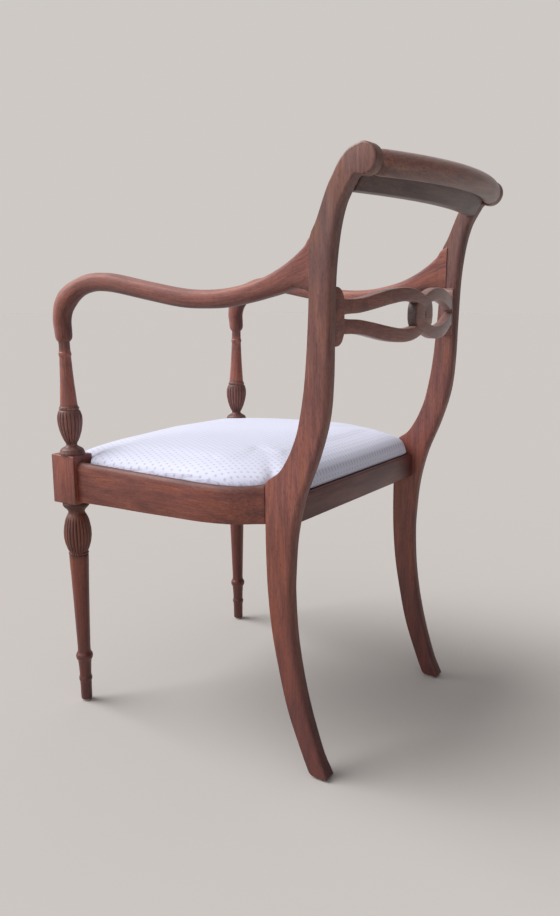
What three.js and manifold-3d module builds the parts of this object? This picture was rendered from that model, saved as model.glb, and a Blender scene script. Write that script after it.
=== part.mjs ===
import * as THREE from 'three';
import { mergeVertices } from 'three/addons/utils/BufferGeometryUtils.js';
import Module from 'manifold-3d';

// Armchair with two swept back posts, an openwork cross splat and a drop-in seat.
// Millimetres, +Z up. The sitter faces -Y, and the sitter's left is +X.
// Every piece is first drawn with y = 0 on the axis of the front legs.

const wasm = await Module();
wasm.setup();

// Driving dimensions of the whole chair
const overallHeight = 889;
const legSpacing = 450;
const frameLength = 388;
const railTop = 436;
const rebateDepth = 14.5;
const postSpacing = 379.8;

// Fits
const clearance = 0.3;
const overrun = 6;

// Back posts
const postThickness = 22;
const postSweep = 151;
const postLeanShare = 0.017;
const scrollRadius = 19.9;

// Front legs
const blockWidth = 42;
const blockFront = 30.6;
const blockRear = 21.8;
const blockRise = 10.4;
const blockFall = 4;
const legRadius = 23.3;

// Glides
const glideThickness = 3;
const glideRadius = 7.2;
const nailRadius = 1.3;
const nailLength = 12;

// Seat rails
const railDrop = 68;
const sideRailRise = 13.4;
const sideRailBow = 25.6;
const sideRailInset = 7;
const railFrontThickness = 26;
const railRearThickness = 20;
const lipWidth = 7.6;
const lipRoundHeight = 10;
const frontRailThickness = 22;
const frontRailSetback = 3;
const backRailThickness = 20;
const backRailHeight = 41.2;
const backRailOffset = 17;
const tenonThickness = 8;
const tenonLength = 14;
const tenonShoulder = 9;

// Arms and their supports
const armRise = 26.5;
const armHalfWidth = 12.5;
const supportSplay = 3;
const armSplay = 4.6;
const supportRadius = 20.5;
const lowerPinRadius = 7;
const lowerPinLength = 24;
const upperPinRadius = 5.5;
const upperPinLength = 22;
const armDowelRadius = 4.5;
const armDowelLength = 30;

// Crest rail
const rollRadius = 16.5;
const rollDrop = 22.4;
const rollSetback = 16;
const crestBow = 31;
const crestSkirt = 32.2;
const crestThickness = 17;
const crestDowelRadius = 4;
const crestDowelLength = 24;

// Cross splat
const splatHeight = 78;
const splatThickness = 17;
const splatBow = 41;
const splatRearInset = 6;
const splatTenonHeight = 46;
const splatTenonThickness = 8;
const splatTenonLength = 9;

// Corner braces and their screws
const braceHeight = 28;
const braceDrop = 8;
const braceLeg = 60;
const braceWall = 9;
const screwRadius = 2;
const screwHeadRadius = 4;
const screwHeadHeight = 3;
const screwGrip = 17;
const screwBite = 13;

// Drop-in seat
const seatGap = 0.6;
const seatLip = 10;
const cornerGap = 2;
const seatSideHeight = 23.5;
const seatCrown = 24;
const coverThickness = 2;
const seatFrameThickness = 17;
const seatFrameWidth = 44;
const strapWidth = 50;
const webbingThickness = 1;
const clothThickness = 0.8;
const seatCornerRadius = 12;
const seatCornerDraw = 9;

// Finishes
const mahogany = { color: 0x5a2c22, roughness: 0.42, metalness: 0 };
const beech = { color: 0xb58a5c, roughness: 0.7, metalness: 0 };
const steel = { color: 0x8d8a84, roughness: 0.4, metalness: 1 };
const nylon = { color: 0xcfc6b4, roughness: 0.5, metalness: 0 };
const dobbyCloth = { color: 0xe4dfda, roughness: 0.95, metalness: 0 };
const juteWeb = { color: 0xa98a5e, roughness: 0.95, metalness: 0 };
const feltPad = { color: 0xd9cdb5, roughness: 1, metalness: 0 };
const blackCloth = { color: 0x1d1c1c, roughness: 0.95, metalness: 0 };

// Places that the pieces share
const halfLegs = legSpacing / 2;
const backHeight = overallHeight - railTop;
const rebateFloor = railTop - rebateDepth;
const blockTop = railTop + blockRise;
const blockBottom = railTop - railDrop - blockFall;
const armLevelShare = 0.585;
const armLow = railTop + backHeight * armLevelShare;
const splatLevelShare = 0.532;
const splatLevel = railTop + backHeight * splatLevelShare;
const seatEdge = rebateFloor + seatSideHeight;
const blockInner = halfLegs - blockWidth / 2;
const innerFace = (z) => postSpacing / 2 + postLeanShare * z;
const turnSegments = 20;

// Solids from geometries and back

function solid(geometry) {
  const bare = geometry.clone();
  bare.deleteAttribute('normal');
  bare.deleteAttribute('uv');
  const welded = mergeVertices(bare);
  return new wasm.Manifold(new wasm.Mesh({
    numProp: 3,
    vertProperties: new Float32Array(welded.attributes.position.array),
    triVerts: new Uint32Array(welded.index.array),
  }));
}

function geometryOf(body) {
  const mesh = body.getMesh();
  const geometry = new THREE.BufferGeometry();
  geometry.setAttribute('position', new THREE.BufferAttribute(mesh.vertProperties, mesh.numProp));
  geometry.setIndex(new THREE.BufferAttribute(mesh.triVerts, 1));
  return geometry;
}

const cut = (body, ...tools) => tools.reduce((rest, tool) => rest.subtract(tool), body);
const join = (body, ...more) => more.reduce((whole, piece) => whole.add(piece), body);

function mirrored(geometry) {
  const copy = geometry.index ? geometry.toNonIndexed() : geometry.clone();
  copy.scale(-1, 1, 1);
  const place = copy.attributes.position;
  for (let corner = 0; corner < place.count; corner += 3) {
    const [x, y, z] = [place.getX(corner), place.getY(corner), place.getZ(corner)];
    place.setXYZ(corner, place.getX(corner + 1), place.getY(corner + 1), place.getZ(corner + 1));
    place.setXYZ(corner + 1, x, y, z);
  }
  return copy;
}

const mirroredSolid = (body) => solid(mirrored(geometryOf(body)));

function box(low, high) {
  const size = low.map((value, axis) => high[axis] - value);
  const geometry = new THREE.BoxGeometry(...size);
  geometry.translate(...low.map((value, axis) => (value + high[axis]) / 2));
  return geometry;
}

// A cylinder along an axis ('x', 'y' or 'z') from a start point
function rod(axis, start, length, radius, segments = turnSegments / 2) {
  const geometry = new THREE.CylinderGeometry(radius, radius, length, segments);
  geometry.translate(0, length / 2, 0);
  if (axis === 'x') geometry.rotateZ(-Math.PI / 2);
  if (axis === 'z') geometry.rotateX(Math.PI / 2);
  geometry.translate(...start);
  return geometry;
}

// A turned piece: [height, radius] pairs from the bottom up, on the z axis
function turned(profile, segments = turnSegments) {
  const points = profile.map(([height, radius]) => new THREE.Vector2(radius, height));
  const geometry = new THREE.LatheGeometry(points, segments);
  geometry.rotateX(Math.PI / 2);
  return geometry;
}

// A plan outline raised from one height to another
function slab(outline, bottom, top) {
  const shape = new THREE.Shape(outline.map(([x, y]) => new THREE.Vector2(x, y)));
  const geometry = new THREE.ExtrudeGeometry(shape, { depth: top - bottom, bevelEnabled: false });
  geometry.translate(0, 0, bottom);
  return geometry;
}

// Triangles of a flat ring of points, all wound the way that the ring goes
function endTriangles(ring) {
  const normal = new THREE.Vector3();
  ring.forEach((point, step) => normal.add(new THREE.Vector3().crossVectors(point, ring.at(step - 1))));
  const [nx, ny, nz] = normal.toArray().map(Math.abs);
  const axes = nx > ny && nx > nz ? ['y', 'z'] : ny > nz ? ['x', 'z'] : ['x', 'y'];
  const plan = ring.map((point) => new THREE.Vector2(point[axes[0]], point[axes[1]]));
  const around = THREE.ShapeUtils.area(plan);
  return THREE.ShapeUtils.triangulateShape(plan, []).map(([a, b, c]) => {
    const turn = THREE.ShapeUtils.area([plan[a], plan[b], plan[c]]);
    return turn * around > 0 ? [a, b, c] : [a, c, b];
  });
}

// A closed skin over rings of points that all have the same count, with flat ends
function loft(rings) {
  const count = rings[0].length;
  const points = rings.flat();
  const faces = [];
  for (let ring = 0; ring + 1 < rings.length; ring += 1) {
    for (let step = 0; step < count; step += 1) {
      const a = ring * count + step;
      const b = ring * count + (step + 1) % count;
      faces.push(a, b, b + count, a, b + count, a + count);
    }
  }
  const last = (rings.length - 1) * count;
  for (const [a, b, c] of endTriangles(rings[0])) faces.push(a, c, b);
  for (const [a, b, c] of endTriangles(rings.at(-1))) faces.push(last + a, last + b, last + c);
  let volume = 0;
  for (let face = 0; face < faces.length; face += 3) {
    const [a, b, c] = [0, 1, 2].map((corner) => points[faces[face + corner]]);
    volume += a.dot(new THREE.Vector3().crossVectors(b, c));
  }
  if (volume < 0) faces.reverse();
  const geometry = new THREE.BufferGeometry().setFromPoints(points);
  geometry.setIndex(faces);
  return geometry;
}

// Straight interpolation in a table of [place, value] pairs
function lookUp(table, place) {
  const last = table.length - 1;
  if (place <= table[0][0]) return table[0][1];
  if (place >= table[last][0]) return table[last][1];
  const after = table.findIndex(([start]) => start > place);
  const [left, low] = table[after - 1];
  const [right, high] = table[after];
  return low + (high - low) * (place - left) / (right - left);
}

const evenShares = (steps) => Array.from({ length: steps + 1 }, (_, step) => step / steps);

// Back posts

// Side outline: [share of the way down from the rail top to the floor (minus) or up to the
// top of the back (plus), share of the sweep behind the rail joint]
const lowerFrontShares = [
  [-1, 0.48], [-0.91, 0.376], [-0.776, 0.23], [-0.637, 0.132], [-0.498, 0.056], [-0.356, 0.015],
  [-0.215, 0.002], [-0.058, 0.003], [0.005, 0.009],
];
const kneeFrontShares = [
  [0.005, 0.009], [0.0256, 0.062], [0.0561, 0.169], [0.0973, 0.254], [0.1365, 0.313],
  [0.1934, 0.376], [0.2876, 0.434], [0.376, 0.467], [0.4937, 0.493], [0.582, 0.506],
  [0.6939, 0.511], [0.7586, 0.523], [0.8057, 0.591], [0.8842, 0.687], [0.9451, 0.784],
  [0.9745, 0.856], [0.9892, 0.918], [1, 1.015],
];
const rearShares = [
  [0.9097, 0.935], [0.8646, 0.858], [0.8293, 0.817], [0.7567, 0.767], [0.6468, 0.729],
  [0.4966, 0.715], [0.3426, 0.704], [0.2248, 0.666], [0.1031, 0.558], [-0.0213, 0.411],
  [-0.1538, 0.32], [-0.2863, 0.285], [-0.37, 0.279], [-0.5066, 0.303], [-0.6391, 0.362],
  [-0.7676, 0.451], [-0.896, 0.57], [-1, 0.685],
];
const scrollSweepShare = 1.025;
const scrollStart = Math.PI / 2;
const scrollEnd = -0.7 * Math.PI;
const curveSteps = 18;

const postPoint = ([heightShare, sweepShare]) => new THREE.Vector2(
  frameLength + postSweep * sweepShare,
  Math.max(railTop + (heightShare < 0 ? railTop : backHeight) * heightShare, glideThickness),
);
const curveThrough = (shares, steps) => new THREE.SplineCurve(shares.map(postPoint)).getPoints(steps);
const postFront = [
  ...curveThrough(lowerFrontShares, curveSteps),
  ...curveThrough(kneeFrontShares, curveSteps * 1.5).slice(1),
];
const postRear = curveThrough(rearShares, curveSteps * 1.5);
const frontOfPost = (z) => lookUp(postFront.map((point) => [point.y, point.x]), z);
const rearOfPost = (z) => lookUp(postRear.map((point) => [point.y, point.x]).reverse(), z);

function postOutline() {
  const shape = new THREE.Shape(postFront);
  const scrollCentre = frameLength + postSweep * scrollSweepShare;
  shape.absarc(scrollCentre, overallHeight - scrollRadius, scrollRadius, scrollStart, scrollEnd, true);
  postRear.forEach((point) => shape.lineTo(point.x, point.y));
  return shape;
}

// A board of the post's outline between its leaning inner and outer faces
function postBoard() {
  const geometry = new THREE.ExtrudeGeometry(postOutline(), {
    depth: postThickness,
    bevelEnabled: false,
    curveSegments: curveSteps,
  });
  const upright = new THREE.Matrix4().makeBasis(
    new THREE.Vector3(0, 1, 0),
    new THREE.Vector3(0, 0, 1),
    new THREE.Vector3(1, 0, 0),
  );
  const lean = new THREE.Matrix4().makeShear(0, 0, 0, 0, postLeanShare, 0);
  geometry.applyMatrix4(upright);
  geometry.applyMatrix4(lean);
  geometry.translate(postSpacing / 2, 0, 0);
  return solid(geometry);
}

const grown = (low, high) => box(
  low.map((value) => value - clearance),
  high.map((value) => value + clearance),
);

// Glides: a disc with a nail into the foot
function glide([x, y]) {
  const geometry = turned([
    [0, 0], [0, glideRadius - clearance], [clearance, glideRadius],
    [glideThickness - clearance, glideRadius], [glideThickness - clearance, nailRadius],
    [glideThickness + nailLength, nailRadius], [glideThickness + nailLength, 0],
  ], turnSegments / 2);
  geometry.translate(x, y, 0);
  return geometry;
}

const nailHole = ([x, y]) => solid(
  rod('z', [x, y, 0], glideThickness + nailLength + clearance, nailRadius + clearance),
);
const rearFoot = [
  innerFace(0) + postThickness / 2,
  (frontOfPost(glideThickness) + rearOfPost(glideThickness)) / 2,
];
const frontFoot = [halfLegs, 0];

// Seat rails

const sideRailStart = blockRear + clearance;
const sideRailEnd = frameLength - clearance;
const sideRailLength = sideRailEnd - sideRailStart;
const sideRailShare = (y) => (y - sideRailStart) / sideRailLength;
const bulgeShares = [
  [0, 0], [0.075, 0.07], [0.156, 0.165], [0.249, 0.3], [0.34, 0.47], [0.47, 0.67], [0.58, 0.8],
  [0.7, 0.97], [0.76, 1], [0.82, 0.95], [0.88, 0.8], [0.93, 0.49], [0.97, 0.18], [1, 0],
];
const railOuterFront = halfLegs + blockWidth / 2 - sideRailInset;
const railOuterRear = innerFace(rebateFloor) + postThickness - clearance;
const railOuter = (share) => railOuterFront + (railOuterRear - railOuterFront) * share
  + sideRailBow * lookUp(bulgeShares, share);
const railThickness = (share) => railFrontThickness + (railRearThickness - railFrontThickness) * share;
const railInner = (share) => railOuter(share) - railThickness(share);
const railBottom = (share) => railTop - railDrop + sideRailRise * share;

// Section of a rail with a seat rebate: [distance in from the outer face, height]
function railSection(thickness, bottom) {
  const shoulder = lipWidth / 3;
  return [
    [0, bottom], [0, railTop - lipRoundHeight], [shoulder / 2, railTop - lipRoundHeight / 3],
    [shoulder * 1.7, railTop], [lipWidth, railTop - shoulder / 3], [lipWidth, rebateFloor],
    [thickness, rebateFloor], [thickness, bottom],
  ];
}

function tenonHeights(bottom) {
  return [bottom + tenonShoulder, rebateFloor - tenonShoulder];
}

const [sideTenonLow, sideTenonHigh] = tenonHeights(railBottom(1));
const frontTenonX = (railOuter(0) + railInner(0)) / 2;
const rearTenonX = innerFace(rebateFloor) + postThickness / 2;

function sideRailTenon(end, shape) {
  const [x, low, high] = end === 'front'
    ? [frontTenonX, blockRear - tenonLength, sideRailStart + overrun]
    : [rearTenonX, sideRailEnd - overrun, frameLength + tenonLength];
  return shape(
    [x - tenonThickness / 2, low, sideTenonLow],
    [x + tenonThickness / 2, high, sideTenonHigh],
  );
}

// A side rail; extra makes each end that much longer
function sideRailBody(extra = 0) {
  const stations = bulgeShares.map(([share]) => [share, 0]);
  if (extra > 0) {
    stations.unshift([0, -extra]);
    stations.push([1, extra]);
  }
  const rings = stations.map(([share, past]) => railSection(railThickness(share), railBottom(share)).map(
    ([depth, z]) => new THREE.Vector3(
      railOuter(share) - depth,
      sideRailStart + sideRailLength * share + past,
      z,
    ),
  ));
  return solid(loft(rings));
}

const frontRailFace = frontRailSetback - blockFront;
const frontRailRear = frontRailFace + frontRailThickness;
const frontRailEnd = blockInner - clearance;
const [frontTenonLow, frontTenonHigh] = tenonHeights(railTop - railDrop);

function frontRailTenon(side, shape) {
  const middle = (frontRailFace + frontRailRear) / 2;
  const inner = frontRailEnd - overrun;
  const outer = blockInner + tenonLength;
  return shape(
    [side > 0 ? inner : -outer, middle - tenonThickness / 2, frontTenonLow],
    [side > 0 ? outer : -inner, middle + tenonThickness / 2, frontTenonHigh],
  );
}

function frontRailBody() {
  const section = railSection(frontRailThickness, railTop - railDrop);
  const rings = [-frontRailEnd, frontRailEnd].map((x) => section.map(
    ([depth, z]) => new THREE.Vector3(x, frontRailFace + depth, z),
  ));
  return solid(loft(rings));
}

const backRailFront = frameLength + backRailOffset;
const backRailRear = backRailFront + backRailThickness;
const backRailBottom = rebateFloor - backRailHeight;
const [backTenonLow, backTenonHigh] = tenonHeights(backRailBottom);

function backRailTenon(side, shape) {
  const inner = innerFace(backTenonLow) - overrun;
  const outer = innerFace(backTenonLow) + tenonLength * 0.7;
  const middle = (backRailFront + backRailRear) / 2 + clearance;
  return shape(
    [side > 0 ? inner : -outer, middle - tenonThickness / 2, backTenonLow],
    [side > 0 ? outer : -inner, middle + tenonThickness / 2, backTenonHigh],
  );
}

function backRailBody() {
  const section = [
    [backRailFront, backRailBottom], [backRailFront, rebateFloor], [backRailRear, rebateFloor],
    [backRailRear, backRailBottom],
  ];
  const rings = [-1, 1].map((side) => section.map(
    ([y, z]) => new THREE.Vector3(side * (innerFace(z) - clearance), y, z),
  ));
  return solid(loft(rings));
}

// Front legs: a square block on a turned leg

// [share of the turned height, share of the widest radius]
const legShares = [
  [0, 0.38], [0.006, 0.41], [0.075, 0.425], [0.092, 0.44], [0.105, 0.476], [0.115, 0.472],
  [0.127, 0.442], [0.166, 0.455], [0.202, 0.506], [0.213, 0.575], [0.226, 0.622], [0.236, 0.588],
  [0.247, 0.511], [0.263, 0.475], [0.399, 0.528], [0.601, 0.627], [0.751, 0.72], [0.762, 0.732],
  [0.773, 0.773], [0.79, 0.867], [0.806, 0.948], [0.831, 1], [0.856, 1], [0.878, 0.961],
  [0.909, 0.867], [0.928, 0.76], [0.939, 0.67], [0.95, 0.59], [0.961, 0.68], [0.972, 0.86],
  [0.986, 0.96], [1, 0.92],
];

function frontLegBody() {
  const bottom = glideThickness;
  const turnedHeight = blockBottom - bottom;
  const profile = legShares.map(([height, radius]) => [bottom + turnedHeight * height, legRadius * radius]);
  const top = blockBottom + overrun;
  const leg = turned([[bottom, 0], ...profile, [top, lowerPinRadius], [top, 0]]);
  leg.translate(halfLegs, 0, 0);
  const block = box(
    [halfLegs - blockWidth / 2, -blockFront, blockBottom],
    [halfLegs + blockWidth / 2, blockRear, blockTop],
  );
  return join(solid(leg), solid(block));
}

// Arms

const armSupportX = halfLegs + supportSplay + armSplay;
const armSupportY = 1;
const armPostX = innerFace(armLow) + postThickness / 2;
const armReach = frontOfPost(armLow) - armSupportY;

// Outer and inner edge in side view: shares of the reach and of the rise, then the
// share of the way from the post's half width to the arm's own
const armEdgeShares = [
  [1.026, 3.21, 1.026, 0.3, 0], [1, 2.95, 1, 0.31, 0], [0.989, 2.65, 0.989, 0.38, 0.1],
  [0.976, 2.42, 0.976, 0.45, 0.3], [0.946, 2.02, 0.946, 0.48, 0.6], [0.907, 1.6, 0.907, 0.275, 1],
  [0.853, 1.16, 0.853, 0.04, 1], [0.795, 0.85, 0.795, -0.19, 1], [0.709, 0.57, 0.709, -0.45, 1],
  [0.6185, 0.49, 0.6185, -0.51, 1], [0.526, 0.61, 0.526, -0.44, 1], [0.394, 1, 0.394, -0.06, 1],
  [0.259, 1.44, 0.259, 0.36, 1], [0.1875, 1.53, 0.1875, 0.47, 1], [0.151, 1.506, 0.147, 0.42, 1.1],
  [0.114, 1.407, 0.11, 0.25, 1.3], [0.037, 0.93, 0.071, -0.19, 2.2], [-0.004, 0.42, 0.0485, -0.6, 2.6],
  [-0.027, -0.26, 0.0366, -0.9, 2.6], [-0.036, -1.24, 0.029, -1.32, 2.4],
  [-0.032, -1.85, 0.03, -1.85, 2.1], [-0.0298, -2.26, 0.0298, -2.26, 1.7],
  [-0.0255, -2.41, 0.0255, -2.41, 0.8], [-0.021, -2.525, 0.021, -2.525, -0.5],
];
const armSideCount = 12;
const elbowShare = 0.12;
const armCorners = { level: 2.5, round: 2 };
const sleeveEnd = armLow + armRise * armEdgeShares.at(-1)[1];

function armBody() {
  const postHalf = postThickness / 2 - clearance;
  const rings = armEdgeShares.map(([outerReach, outerRise, innerReach, innerRise, widthShare]) => {
    const outer = [armSupportY + armReach * outerReach, armLow + armRise * outerRise];
    const inner = [armSupportY + armReach * innerReach, armLow + armRise * innerRise];
    const middle = outer.map((value, axis) => (value + inner[axis]) / 2);
    const half = outer.map((value, axis) => (value - inner[axis]) / 2);
    const alongShare = Math.max((outerReach + innerReach) / 2, 0);
    const x = armSupportX + (armPostX - armSupportX) * alongShare;
    const halfWidth = postHalf + (armHalfWidth - postHalf) * widthShare;
    const corner = outerReach > elbowShare ? armCorners.level : armCorners.round;
    return evenShares(armSideCount).slice(1).map((turn) => {
      const angle = turn * 2 * Math.PI;
      const bend = (value) => Math.sign(value) * Math.abs(value) ** (2 / corner);
      const [across, up] = [bend(Math.cos(angle)), bend(Math.sin(angle))];
      return new THREE.Vector3(x + halfWidth * across, middle[0] + half[0] * up, middle[1] + half[1] * up);
    });
  });
  return solid(loft(rings));
}

// Arm supports: turned between the block and the arm's sleeve, leaning outwards

// [share of the height between block and sleeve, share of the widest radius]
const supportShares = [
  [0, 1], [0.018, 1.015], [0.039, 0.93], [0.05, 0.849], [0.06, 0.722], [0.071, 0.527], [0.087, 0.439],
  [0.109, 0.507], [0.135, 0.63], [0.167, 0.746], [0.205, 0.856], [0.264, 0.965], [0.322, 1.005],
  [0.354, 0.971], [0.381, 0.878], [0.403, 0.785], [0.424, 0.72], [0.472, 0.673], [0.552, 0.62],
  [0.649, 0.556], [0.825, 0.478], [0.868, 0.468], [0.884, 0.49], [0.895, 0.493], [0.905, 0.483],
  [0.921, 0.459], [0.953, 0.444], [1, 0.439],
];
const supportBase = blockTop + clearance;
const supportHeight = sleeveEnd - clearance - supportBase;
const supportLean = armSplay / supportHeight;

function leaned(geometry) {
  const lean = new THREE.Matrix4().makeShear(0, 0, 0, 0, supportLean, 0);
  geometry.translate(0, 0, -supportBase);
  geometry.applyMatrix4(lean);
  geometry.translate(halfLegs + supportSplay, armSupportY, supportBase);
  return geometry;
}

function armSupport() {
  const profile = supportShares.map(([height, radius]) => [
    supportBase + supportHeight * height,
    supportRadius * radius,
  ]);
  const [low, high] = [supportBase - lowerPinLength, supportBase + supportHeight + upperPinLength];
  return leaned(turned([
    [low, 0], [low, lowerPinRadius], [supportBase, lowerPinRadius], ...profile,
    [supportBase + supportHeight, upperPinRadius], [high, upperPinRadius], [high, 0],
  ]));
}

const lowerPinHole = () => solid(leaned(rod(
  'z',
  [0, 0, supportBase - lowerPinLength - clearance],
  lowerPinLength + overrun,
  lowerPinRadius + clearance,
  turnSegments,
)));
const upperPinHole = () => solid(leaned(rod(
  'z',
  [0, 0, sleeveEnd - overrun],
  overrun + upperPinLength + clearance,
  upperPinRadius + clearance,
  turnSegments,
)));

// Dowels between the arms and the posts
const armDowelLevel = armLow + armRise * 1.5;
const armDowelPlace = [
  innerFace(armDowelLevel) + postThickness / 2,
  frontOfPost(armDowelLevel) - armDowelLength / 2,
  armDowelLevel,
];
const armDowel = () => rod('y', armDowelPlace, armDowelLength, armDowelRadius);
function armDowelHole() {
  const [x, y, z] = armDowelPlace;
  return solid(rod('y', [x, y - clearance, z], armDowelLength + 2 * clearance, armDowelRadius + clearance));
}

// Crest rail: a roll along the top with a leaning skirt under it, bowed to the rear

const rollY = frameLength + postSweep + rollSetback;
const rollZ = overallHeight - rollDrop;
const crestSkirtShares = { rear: 0.99, crease: 0.58, creaseDrop: 0.28, frontDrop: 0.34, bow: 0.8 };

function crestSection() {
  const rear = rollY - crestSkirt * crestSkirtShares.rear;
  const crease = rollY - crestSkirt * crestSkirtShares.crease;
  const skirtRear = [
    [rear, rollZ - crestSkirt, crestSkirtShares.bow],
    [(rear + crease) / 2, rollZ - crestSkirt * (1 + crestSkirtShares.creaseDrop) / 2, 0.9],
    [crease, rollZ - crestSkirt * crestSkirtShares.creaseDrop, 1],
  ];
  const [from, to] = [1.17 * Math.PI, 2.72 * Math.PI];
  const roll = evenShares(turnSegments / 2).map((share) => {
    const angle = from + (to - from) * share;
    return [rollY + rollRadius * Math.cos(angle), rollZ + rollRadius * Math.sin(angle), 1];
  });
  const skirtFront = [
    [crease - crestThickness, rollZ - crestSkirt * crestSkirtShares.frontDrop, 1],
    [rear - crestThickness, rollZ - crestSkirt, crestSkirtShares.bow],
  ];
  return [...skirtRear, ...roll, ...skirtFront];
}

function crestBody() {
  const section = crestSection();
  const rings = evenShares(turnSegments / 2).map((share) => {
    const across = 2 * share - 1;
    return section.map(([y, z, bowShare]) => new THREE.Vector3(
      across * (innerFace(z) - clearance),
      y + crestBow * bowShare * (1 - across ** 2),
      z,
    ));
  });
  return solid(loft(rings));
}

// Dowels between the crest rail and the posts: [height, distance back]
const skirtMiddle = rollZ - crestSkirt * 0.68;
const crestDowelPlaces = {
  upper: [rollZ + crestDowelRadius / 2, rollY - rollRadius / 2],
  lower: [skirtMiddle, rollY - crestSkirt * 0.78 - crestThickness / 2],
};

function crestDowel(level, grow = 0) {
  const [z, y] = crestDowelPlaces[level];
  const start = innerFace(z) - crestDowelLength / 2 - grow;
  return rod('x', [start, y, z], crestDowelLength + 2 * grow, crestDowelRadius + grow);
}

// Cross splat: one bowed board carved as two loops that pass through each other

const splatHalf = splatHeight / 2;
const splatRear = rearOfPost(splatLevel) - splatRearInset;

// Quarter outlines: [share of the way from the middle to the post, share of half the height]
const splatRimShares = [
  [0, 0.72], [0.05, 0.84], [0.1, 0.93], [0.17, 1], [0.258, 1], [0.377, 0.923], [0.49, 0.82],
  [0.59, 0.72], [0.685, 0.64], [0.76, 0.595], [0.88, 0.59], [0.905, 0.64], [0.915, 0.75],
  [0.935, 0.9], [0.96, 0.99], [1, 1.04],
];
const splatOpeningShares = [
  [0.894, 0], [0.885, 0.085], [0.77, 0.103], [0.685, 0.128], [0.59, 0.205], [0.487, 0.31],
  [0.377, 0.39], [0.253, 0.46], [0.16, 0.45], [0.105, 0.38], [0.085, 0.2], [0.085, 0],
];

function splatBody() {
  const flip = (points, acrossSign, upSign) => points.map(
    ([across, up]) => [across * acrossSign, up * upSign],
  );
  const upperHalf = [...splatRimShares.toReversed(), ...flip(splatRimShares, -1, 1).slice(1)];
  const rim = [...upperHalf, ...flip(upperHalf, 1, -1).reverse()];
  const opening = [...splatOpeningShares, ...flip(splatOpeningShares, 1, -1).reverse().slice(1, -1)];
  const path = (points) => points.map(
    ([across, up]) => new THREE.Vector2(across, splatLevel + splatHalf * up),
  );
  const shape = new THREE.Shape(path(rim));
  shape.holes = [new THREE.Path(path(opening)), new THREE.Path(path(flip(opening, -1, 1)))];
  const geometry = new THREE.ExtrudeGeometry(shape, { depth: 1, bevelEnabled: false });
  const place = geometry.attributes.position;
  for (let corner = 0; corner < place.count; corner += 1) {
    const across = place.getX(corner);
    const z = place.getY(corner);
    const rear = splatRear + splatBow * (1 - across ** 2);
    place.setXYZ(corner, across * (innerFace(z) - clearance), rear - splatThickness * place.getZ(corner), z);
  }
  return solid(geometry);
}

function splatTenon(side, shape) {
  const inner = innerFace(splatLevel) - overrun;
  const outer = innerFace(splatLevel) + splatTenonLength;
  const middle = splatRear - splatThickness / 2;
  return shape(
    [side > 0 ? inner : -outer, middle - splatTenonThickness / 2, splatLevel - splatTenonHeight / 2],
    [side > 0 ? outer : -inner, middle + splatTenonThickness / 2, splatLevel + splatTenonHeight / 2],
  );
}

// Corner braces inside the seat rails, each with two countersunk screws

const braceTop = rebateFloor - braceDrop;
const braceBottom = braceTop - braceHeight;
const braceMiddle = (braceTop + braceBottom) / 2;
const innerAt = (y) => railInner(sideRailShare(y));

// Plan of a brace, with its edges run a little way into what it is fitted to
function braceOutline(end) {
  if (end === 'front') {
    const reach = blockRear + braceLeg * 0.7;
    return [
      [blockInner - braceLeg, frontRailRear - overrun], [blockInner + overrun, frontRailRear - overrun],
      [blockInner + overrun, blockRear - overrun], [innerAt(blockRear) + overrun, blockRear - overrun],
      [innerAt(reach) + overrun, reach], [innerAt(reach) - braceWall, reach],
      [blockInner - braceLeg, frontRailRear + braceWall],
    ];
  }
  const reach = backRailFront - braceLeg;
  const corner = innerFace(braceTop);
  return [
    [corner - braceLeg, backRailFront + overrun], [corner + overrun, backRailFront + overrun],
    [innerAt(frameLength) + overrun, frameLength - overrun], [innerAt(reach) + overrun, reach],
    [innerAt(reach) - braceWall, reach], [corner - braceLeg, backRailFront - braceWall],
  ];
}

// Where a screw meets its rail, and the way that it points
const braceScrews = {
  front: [
    { at: [blockInner - braceLeg * 0.42, frontRailRear], way: [0, -1] },
    { at: [innerAt(blockRear + braceLeg * 0.32), blockRear + braceLeg * 0.32], way: [1, 0] },
  ],
  rear: [
    { at: [innerFace(braceTop) - braceLeg * 0.42, backRailFront], way: [0, 1] },
    { at: [innerAt(backRailFront - braceLeg * 0.6), backRailFront - braceLeg * 0.6], way: [1, 0] },
  ],
};

function placeScrew(geometry, { at, way }) {
  geometry.rotateY(Math.PI / 2);
  geometry.rotateZ(Math.atan2(way[1], way[0]));
  geometry.translate(at[0], at[1], braceMiddle);
  return geometry;
}

function braceScrew(screw) {
  const profile = [
    [-screwGrip, 0], [-screwGrip, screwHeadRadius], [-screwGrip + screwHeadHeight, screwRadius],
    [screwBite - screwHeadHeight, screwRadius], [screwBite, 0],
  ];
  return placeScrew(turned(profile, turnSegments / 2), screw);
}

function braceScrewHole(screw) {
  const [headRoom, shankRoom] = [screwHeadRadius + clearance, screwRadius + clearance];
  const profile = [
    [-braceLeg, 0], [-braceLeg, headRoom], [-screwGrip + clearance, headRoom],
    [-screwGrip + screwHeadHeight + clearance, shankRoom],
    [screwBite + clearance, shankRoom], [screwBite + clearance, 0],
  ];
  return solid(placeScrew(turned(profile, turnSegments / 2), screw));
}

// Drop-in seat

const seatFloor = rebateFloor + clearance;
const seatFront = frontRailFace + lipWidth + seatGap;
const seatRear = backRailRear - seatLip;
const seatSide = (share) => railOuter(share) - lipWidth - seatGap;
const seatCentreY = (seatFront + seatRear) / 2;
const cornerDrawShares = [[0, 1.2], [0.043, 1], [0.13, 0.6], [0.25, 0]];
const seatSideShares = [0.035, 0.12, 0.25, 0.4, 0.55, 0.7, 0.79, 0.86, 0.91];

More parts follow.
